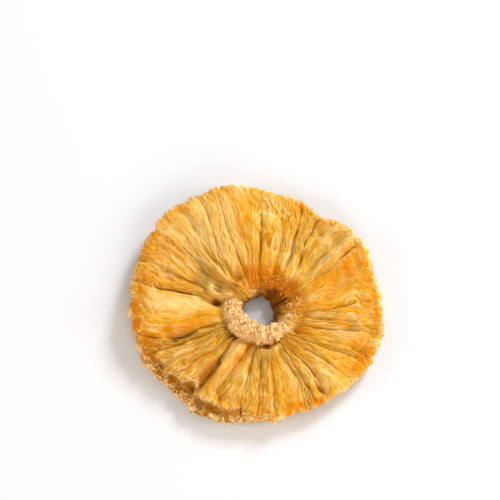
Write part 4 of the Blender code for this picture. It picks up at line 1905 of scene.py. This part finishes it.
@dataclass(frozen=True)
class Collar:
    """The granular roll round the near side of the hole, and the grains on it and in the throat."""

    first_angle: float = 138.0
    last_angle: float = 362.0
    columns: int = 420
    rows: int = 44
    share: float = 0.088
    half_width: float = 2.7
    half_height: float = 2.3
    sunk: float = 0.95
    # The roll tapers at its ends, is widest near its middle, and is uneven.
    ends_power: int = 6
    narrow: float = 0.74
    swollen: float = 0.26
    swollen_at: float = 0.45
    swollen_reach: float = 0.33
    uneven: Ripple = Ripple(seed=61, height=0.20, cells_round=16, cells_along=1)
    course: Ripple = Ripple(seed=62, height=0.012, cells_round=11, cells_along=1)
    folds: Ripple = Ripple(seed=63, height=1.0, cells_round=150, cells_along=26, closed=True)
    lumps: Ripple = Ripple(seed=64, height=0.45, cells_round=44, cells_along=9, closed=True)
    fold_height: float = 0.34
    fold_middle: float = 0.4
    fold_sharpness: float = 1.6
    # Painted shade and highlight: the tone in the fold valleys, and how much lighter the crests are.
    fold_shade_tone: tuple[float, float] = (0.25, 0.9)
    grain_seed: int = 71
    grain_count: int = 1100
    grain_along: Span = (0.02, 0.98)
    grain_around: Span = (-0.05, 0.55)
    grain_sizes: Span = (0.24, 0.58)
    grain_tones: Scatter = (0.62, 0.18)
    # Sugar grains lie in the throat, and some of them beside the hole, further in and paler.
    sugar_seed: int = 73
    sugar_count: int = 320
    sugar_angles: Scatter = (62, 27)
    sugar_shares: Scatter = (0.14, 0.045)
    sugar_limits: Span = (0.03, 0.3)
    sugar_sizes: Span = (0.16, 0.42)
    sugar_tones: Scatter = (0.35, 0.22)
    sugar_roughness: float = 0.45
    beside_part: float = 0.3
    beside_angles: Scatter = (0, 8)
    beside_inward: float = 0.06
    beside_paler: float = 0.3

    def surface(self, skin: FleshSkin, along: Array, around: Array) -> Array:
        """Places points of the roll.

        Args:
            skin: The skin that the roll stands on.
            along: The place along the roll, from 0 to 1.
            around: The place round its section, from 0 to 1.

        Returns:
            The points in metres.
        """
        angle = self.first_angle + (self.last_angle - self.first_angle) * along
        turn = skin.form.turn_at(angle, np.full(angle.shape, self.share))
        wide = faded_ends(along, self.ends_power)
        wide = wide * (self.narrow + self.swollen * bell(along - self.swollen_at, self.swollen_reach))
        wide = wide * (1 + self.uneven.over(along, along))
        middle = self.share + self.course.over(along, along)
        highest = skin.form.heights(turn, np.full(angle.shape, self.share))[2]
        radius = skin.form.radius(turn, angle, middle, np.ones(angle.shape))
        height = highest - self.sunk * self.half_height
        fold = np.abs(self.folds.over(along, around))
        grain = self.fold_height * (fold - self.fold_middle) * self.fold_sharpness
        bump = 1 + (grain + self.lumps.over(along, around)) / self.half_width
        turned = 2 * math.pi * around
        radius = radius + self.half_width * wide * bump * np.cos(turned)
        height = height + self.half_height * wide * bump * np.sin(turned)
        return (np.stack([*across_plan(angle, radius), height], axis=-1) + skin.shift) * MM

    def build(self, skin: FleshSkin) -> bpy.types.Object:
        """Builds the roll.

        Args:
            skin: The skin that it stands on.

        Returns:
            The roll as one closed mesh with tapered ends.
        """
        along = np.repeat(np.linspace(0.0, 1.0, self.columns)[:, None], self.rows, axis=1)
        around = np.tile(np.arange(self.rows) / self.rows, (self.columns, 1))
        points = self.surface(skin, along, around)
        here = np.arange(self.columns * self.rows).reshape(self.columns, self.rows)
        above = np.roll(here, -1, axis=1)
        faces = np.stack([here[:-1], above[:-1], above[1:], here[1:]], axis=-1).reshape(-1, 4)
        # Painted shade in the roll's fold valleys and lighter paint on its crests.
        darkest, lighter = self.fold_shade_tone
        tone = darkest + lighter * np.abs(self.folds.over(along, around))
        return smooth_piece("collar_roll", points.reshape(-1, 3), faces, {"tone": np.clip(tone, 0, 1)})

    def grains(self, skin: FleshSkin) -> bpy.types.Object:
        """Builds the pale grains on the roll.

        Args:
            skin: The skin that they stand on.

        Returns:
            The grains as one object.
        """
        draw = np.random.default_rng(self.grain_seed)
        along = draw.uniform(*self.grain_along, self.grain_count)
        around = draw.uniform(*self.grain_around, self.grain_count)
        places = self.surface(skin, along, around)
        sizes = draw.uniform(*self.grain_sizes, self.grain_count)
        tones = draw.normal(*self.grain_tones, self.grain_count)
        return Lumps().build("collar_grains", places, sizes, tones, self.grain_seed + 1)

    def sparkles(self, skin: FleshSkin) -> bpy.types.Object:
        """Builds the sugar grains in the throat and beside the hole.

        Args:
            skin: The skin that they stand on.

        Returns:
            The sugar grains as one object.
        """
        draw = np.random.default_rng(self.sugar_seed)
        count = self.sugar_count
        near = draw.uniform(0, 1, count) < self.beside_part
        beside_hole = draw.normal(*self.beside_angles, count)
        angle = np.where(near, beside_hole, draw.normal(*self.sugar_angles, count))
        share = draw.normal(*self.sugar_shares, count) - np.where(near, self.beside_inward, 0.0)
        angle, share = angle % 360, np.clip(share, *self.sugar_limits)
        places = skin.upper(skin.form.turn_at(angle, share), share)
        sizes = draw.uniform(*self.sugar_sizes, count)
        tones = draw.normal(*self.sugar_tones, count) + np.where(near, self.beside_paler, 0.0)
        return Lumps().build("sugar_sparkles", places, sizes, tones, self.sugar_seed + 1)

    def pieces(self, skin: FleshSkin, colours: Palette) -> list[bpy.types.Object]:
        """Builds the roll, its grains and the sugar grains, and dresses them.

        Args:
            skin: The skin that they stand on.
            colours: The fruit's colours.

        Returns:
            The dressed pieces.
        """
        grainy = ScrapFinish(colours.tan, colours.bisque, colours.straw)
        rusty = ScrapFinish(colours.rust, colours.amber, colours.bisque, self.sugar_roughness)
        return [
            dressed(self.build(skin), grainy.material("collar_tan")),
            dressed(self.grains(skin), grainy.material("grain_tan")),
            dressed(self.sparkles(skin), rusty.material("sparkle_rust")),
        ]


@dataclass(frozen=True)
class FrayedEdge:
    """Torn tips and crumbs round the outer edge, and crumbs along the torn lip."""

    # The tips and crumbs stand in clusters, and hardly any along the clean cut side.
    clusters: Ripple = Ripple(seed=85, height=1.0, cells_round=44, cells_along=1)
    cluster_span: Span = (-0.5, 0.7)
    cut_angle: float = 305.0
    cut_spread: float = 32.0
    cut_cleaned: float = 0.93
    least_likely: float = 0.02
    draws_each: int = 8
    tip_seed: int = 81
    tip_count: int = 900
    tip_levels: Span = (-0.9, 1.0)
    tip_turning: float = 0.45
    tip_rising: Scatter = (0.15, 0.45)
    # A gamma spread's shape, and its scale in millimetres.
    tip_lengths: tuple[float, float] = (3.0, 0.10)
    tip_bending: float = 0.35
    tip_thickness: Span = (0.12, 0.30)
    tip_taper: Span = (1.1, 0.4)
    tip_root: float = -0.5
    tip_lowest: float = 0.2
    stations: int = 5
    crumb_seed: int = 83
    crumb_count: int = 1500
    crumb_levels: Scatter = (0.35, 0.6)
    crumb_inset: float = 0.012
    crumb_lowest: float = 0.4
    crumb_sizes: Span = (0.09, 0.26)
    crumb_tones: Scatter = (0.5, 0.3)
    lip_seed: int = 87
    lip_count: int = 320
    lip_spread: float = 0.45
    lip_inset: float = 0.012
    lip_sizes: Span = (0.09, 0.24)
    lip_tones: Scatter = (0.5, 0.25)

    def frayed_turns(self, draw: np.random.Generator, skin: FleshSkin, count: int) -> Array:
        """Picks places round the edge.

        Args:
            draw: The random draws.
            skin: The skin.
            count: How many places.

        Returns:
            The turn of each place.
        """
        turn = draw.uniform(0, 1, count * self.draws_each)
        angle = skin.form.fibre_angle(turn, np.ones(turn.shape))[0]
        likely = rise(self.clusters.over(turn, turn * 0), *self.cluster_span)
        cleaned = self.cut_cleaned * beside(angle, self.cut_angle, self.cut_spread)
        likely = likely * (1 - cleaned) + self.least_likely
        return turn[draw.uniform(0, 1, turn.shape) < likely][:count]

    def on_wall(self, skin: FleshSkin, turn: Array, level: Array, deeper: Array | float) -> Array:
        """Places points on the outer wall.

        Args:
            skin: The skin.
            turn: The turn of each point.
            level: -1 at the wall's foot to 1 at its top.
            deeper: How much further in each point lies, as a share.

        Returns:
            The points in metres.
        """
        facing = np.sqrt(1 - level**2)
        inset = skin.grid.rounding * (1 - facing) + deeper
        return skin.points(turn, 1 - inset, level, facing, level)

    def tips(self, skin: FleshSkin) -> bpy.types.Object:
        """Builds the torn tips.

        Args:
            skin: The skin that they stand on.

        Returns:
            The tips as one object.
        """
        draw, count = np.random.default_rng(self.tip_seed), self.tip_count
        turn = self.frayed_turns(draw, skin, count)
        base = self.on_wall(skin, turn, draw.uniform(*self.tip_levels, count), 0.0)
        angle = np.arctan2(base[:, 1], base[:, 0]) + draw.normal(0, self.tip_turning, count)
        rising = draw.normal(*self.tip_rising, count)
        aim = unit(np.stack([np.cos(angle), np.sin(angle), rising], axis=-1))
        length = draw.gamma(*self.tip_lengths, count) * MM
        step = np.linspace(self.tip_root, 1.0, self.stations)
        bend = draw.normal(0, self.tip_bending, (count, 3))
        offset = aim[:, None] * step[None, :, None] + bend[:, None] * (step**2)[None, :, None]
        paths = base[:, None] + offset * length[:, None, None]
        paths[..., 2] = np.maximum(paths[..., 2], self.tip_lowest * MM)
        thick = draw.uniform(*self.tip_thickness, count) * MM
        radii = thick[:, None] * np.linspace(*self.tip_taper, self.stations)[None]
        return Strands().build("frayed_tips", paths, radii, draw.uniform(0, 1, count))

    def lip_crumbs(self, skin: FleshSkin) -> bpy.types.Object:
        """Builds the crumbs along the torn line above the ledge.

        Args:
            skin: The skin that they stand on.

        Returns:
            The crumbs as one object.
        """
        draw, count, form = np.random.default_rng(self.lip_seed), self.lip_count, skin.form
        angle = draw.normal(form.ledge_angle, self.lip_spread * form.ledge_spread, count)
        turn = form.turn_at(angle, np.full(count, form.ledge_share))
        share = form.torn_line(turn, angle, np.full(count, form.ledge_share))
        share = share - np.abs(draw.normal(0, self.lip_inset, count))
        sizes = draw.uniform(*self.lip_sizes, count)
        tones = draw.normal(*self.lip_tones, count)
        return Lumps().build("lip_crumbs", skin.upper(turn, share), sizes, tones, self.lip_seed + 1)

    def crumbs(self, skin: FleshSkin) -> bpy.types.Object:
        """Builds the crumbs on the edge.

        Args:
            skin: The skin that they stand on.

        Returns:
            The crumbs as one object.
        """
        draw, count = np.random.default_rng(self.crumb_seed), self.crumb_count
        turn = self.frayed_turns(draw, skin, count)
        level = np.clip(draw.normal(*self.crumb_levels, count), *self.tip_levels)
        places = self.on_wall(skin, turn, level, np.abs(draw.normal(0, self.crumb_inset, count)))
        places[:, 2] = np.maximum(places[:, 2], self.crumb_lowest * MM)
        sizes = draw.uniform(*self.crumb_sizes, count)
        tones = draw.normal(*self.crumb_tones, count)
        return Lumps().build("edge_crumbs", places, sizes, tones, self.crumb_seed + 1)

    def pieces(self, skin: FleshSkin, colours: Palette) -> list[bpy.types.Object]:
        """Builds the tips and the crumbs, and dresses them.

        Args:
            skin: The skin that they stand on.
            colours: The fruit's colours.

        Returns:
            The dressed pieces.
        """
        frayed = ScrapFinish(colours.amber, colours.pale, colours.straw)
        return [
            dressed(self.tips(skin), frayed.material("frayed_straw")),
            dressed(self.crumbs(skin), frayed.material("crumb_straw")),
            dressed(self.lip_crumbs(skin), frayed.material("lip_straw")),
        ]


class Lamp(NamedTuple):
    """A square lamp aimed at the ring, placed and sized in metres."""

    name: str
    place: tuple[float, float, float]
    size: float
    power: float
    tint: Colour


WARM = (1.0, 0.90, 0.80)
COOL = (0.97, 1.0, 1.06)
LAMPS = (
    Lamp(name="key", place=(0.81, 1.08, 0.69), size=0.42, power=22.8, tint=COOL),
    Lamp(name="left_fill", place=(-1.15, -0.20, 0.52), size=0.60, power=5.9, tint=WARM),
    Lamp(name="front_fill", place=(0.31, -1.12, 0.52), size=0.60, power=7.3, tint=WARM),
    Lamp(name="right_fill", place=(1.16, -0.10, 0.52), size=0.60, power=7.8, tint=WARM),
)


@dataclass(frozen=True)
class Studio:
    """A plain pale floor, soft light and the photograph's viewing angle."""

    frame_pixels: float = 500.0
    ring_pixels: float = 252.0
    ring_middle: tuple[float, float] = (256.5, 300.5)
    elevation: float = 68.0
    distance: float = 0.50
    sensor: float = 36.0
    nearest: float = 0.01
    farthest: float = 20.0
    surround: float = 0.55
    floor_size: float = 6.0
    floor_colour: Colour = (0.70, 0.73, 0.77)
    floor_roughness: float = 0.6
    floor_gloss: float = 0.2

    def camera(self) -> None:
        """Places the camera so that the ring has the photograph's place and size."""
        low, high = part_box(NODE)
        middle = (low + high) / 2
        width = (high.x - low.x) * self.frame_pixels / self.ring_pixels
        tilt = math.radians(self.elevation)
        ahead = Vector((0, math.cos(tilt), -math.sin(tilt)))
        above = Vector((0, math.sin(tilt), math.cos(tilt)))
        half = self.frame_pixels / 2
        right = (self.ring_middle[0] - half) / self.frame_pixels * width
        down = (self.ring_middle[1] - half) / self.frame_pixels * width
        made = bpy.data.cameras.new("camera")
        made.lens = self.sensor * self.distance / width
        made.sensor_width = self.sensor
        made.clip_start, made.clip_end = self.nearest, self.farthest
        eye = bpy.data.objects.new("camera", made)
        eye.location = middle - ahead * self.distance - Vector((right, 0, 0)) + above * down
        eye.rotation_euler = (-ahead).to_track_quat("Z", "Y").to_euler()
        bpy.context.scene.collection.objects.link(eye)
        bpy.context.scene.camera = eye

    def floor(self) -> None:
        """Lays a plain pale floor."""
        bpy.ops.mesh.primitive_plane_add(size=self.floor_size, location=(0, 0, 0))
        floor = bpy.context.object
        floor.name = "floor"
        book = NodeBook("pale_floor")
        floor.data.materials.append(book.finish(self.floor_colour, self.floor_roughness, self.floor_gloss))

    def lights(self) -> None:
        """Sets soft light: a bright surround, one lamp behind on the right and three weaker fills."""
        world = bpy.data.worlds.new("surround")
        world.use_nodes = True
        inputs = world.node_tree.nodes["Background"].inputs
        inputs["Color"].default_value = (*WARM, 1.0)
        inputs["Strength"].default_value = self.surround
        bpy.context.scene.world = world
        for lamp in LAMPS:
            light = bpy.data.lights.new(lamp.name, "AREA")
            light.size, light.energy, light.color = lamp.size, lamp.power, lamp.tint
            shown = bpy.data.objects.new(lamp.name, light)
            shown.location = lamp.place
            shown.rotation_euler = Vector(lamp.place).to_track_quat("Z", "Y").to_euler()
            bpy.context.scene.collection.objects.link(shown)


def main() -> None:
    """Builds the ring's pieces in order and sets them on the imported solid."""
    logging.basicConfig(level=logging.INFO, format="%(name)s: %(message)s")
    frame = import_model()
    LOG.info("nodes in the frame: %s", ", ".join(frame["nodes"]))
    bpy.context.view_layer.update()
    studio = Studio()
    studio.camera()
    studio.floor()
    studio.lights()
    bpy.context.scene.view_settings.view_transform = "Standard"
    colours = Palette()
    skin = FleshSkin()
    flesh = skin.piece(colours)
    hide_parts(NODE)
    pieces = [flesh, *Collar().pieces(skin, colours), *FrayedEdge().pieces(skin, colours)]
    for piece in pieces:
        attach(piece, BODY)
        LOG.info("%s: %d faces", piece.name, len(piece.data.polygons))


if __name__ == "__main__":
    main()
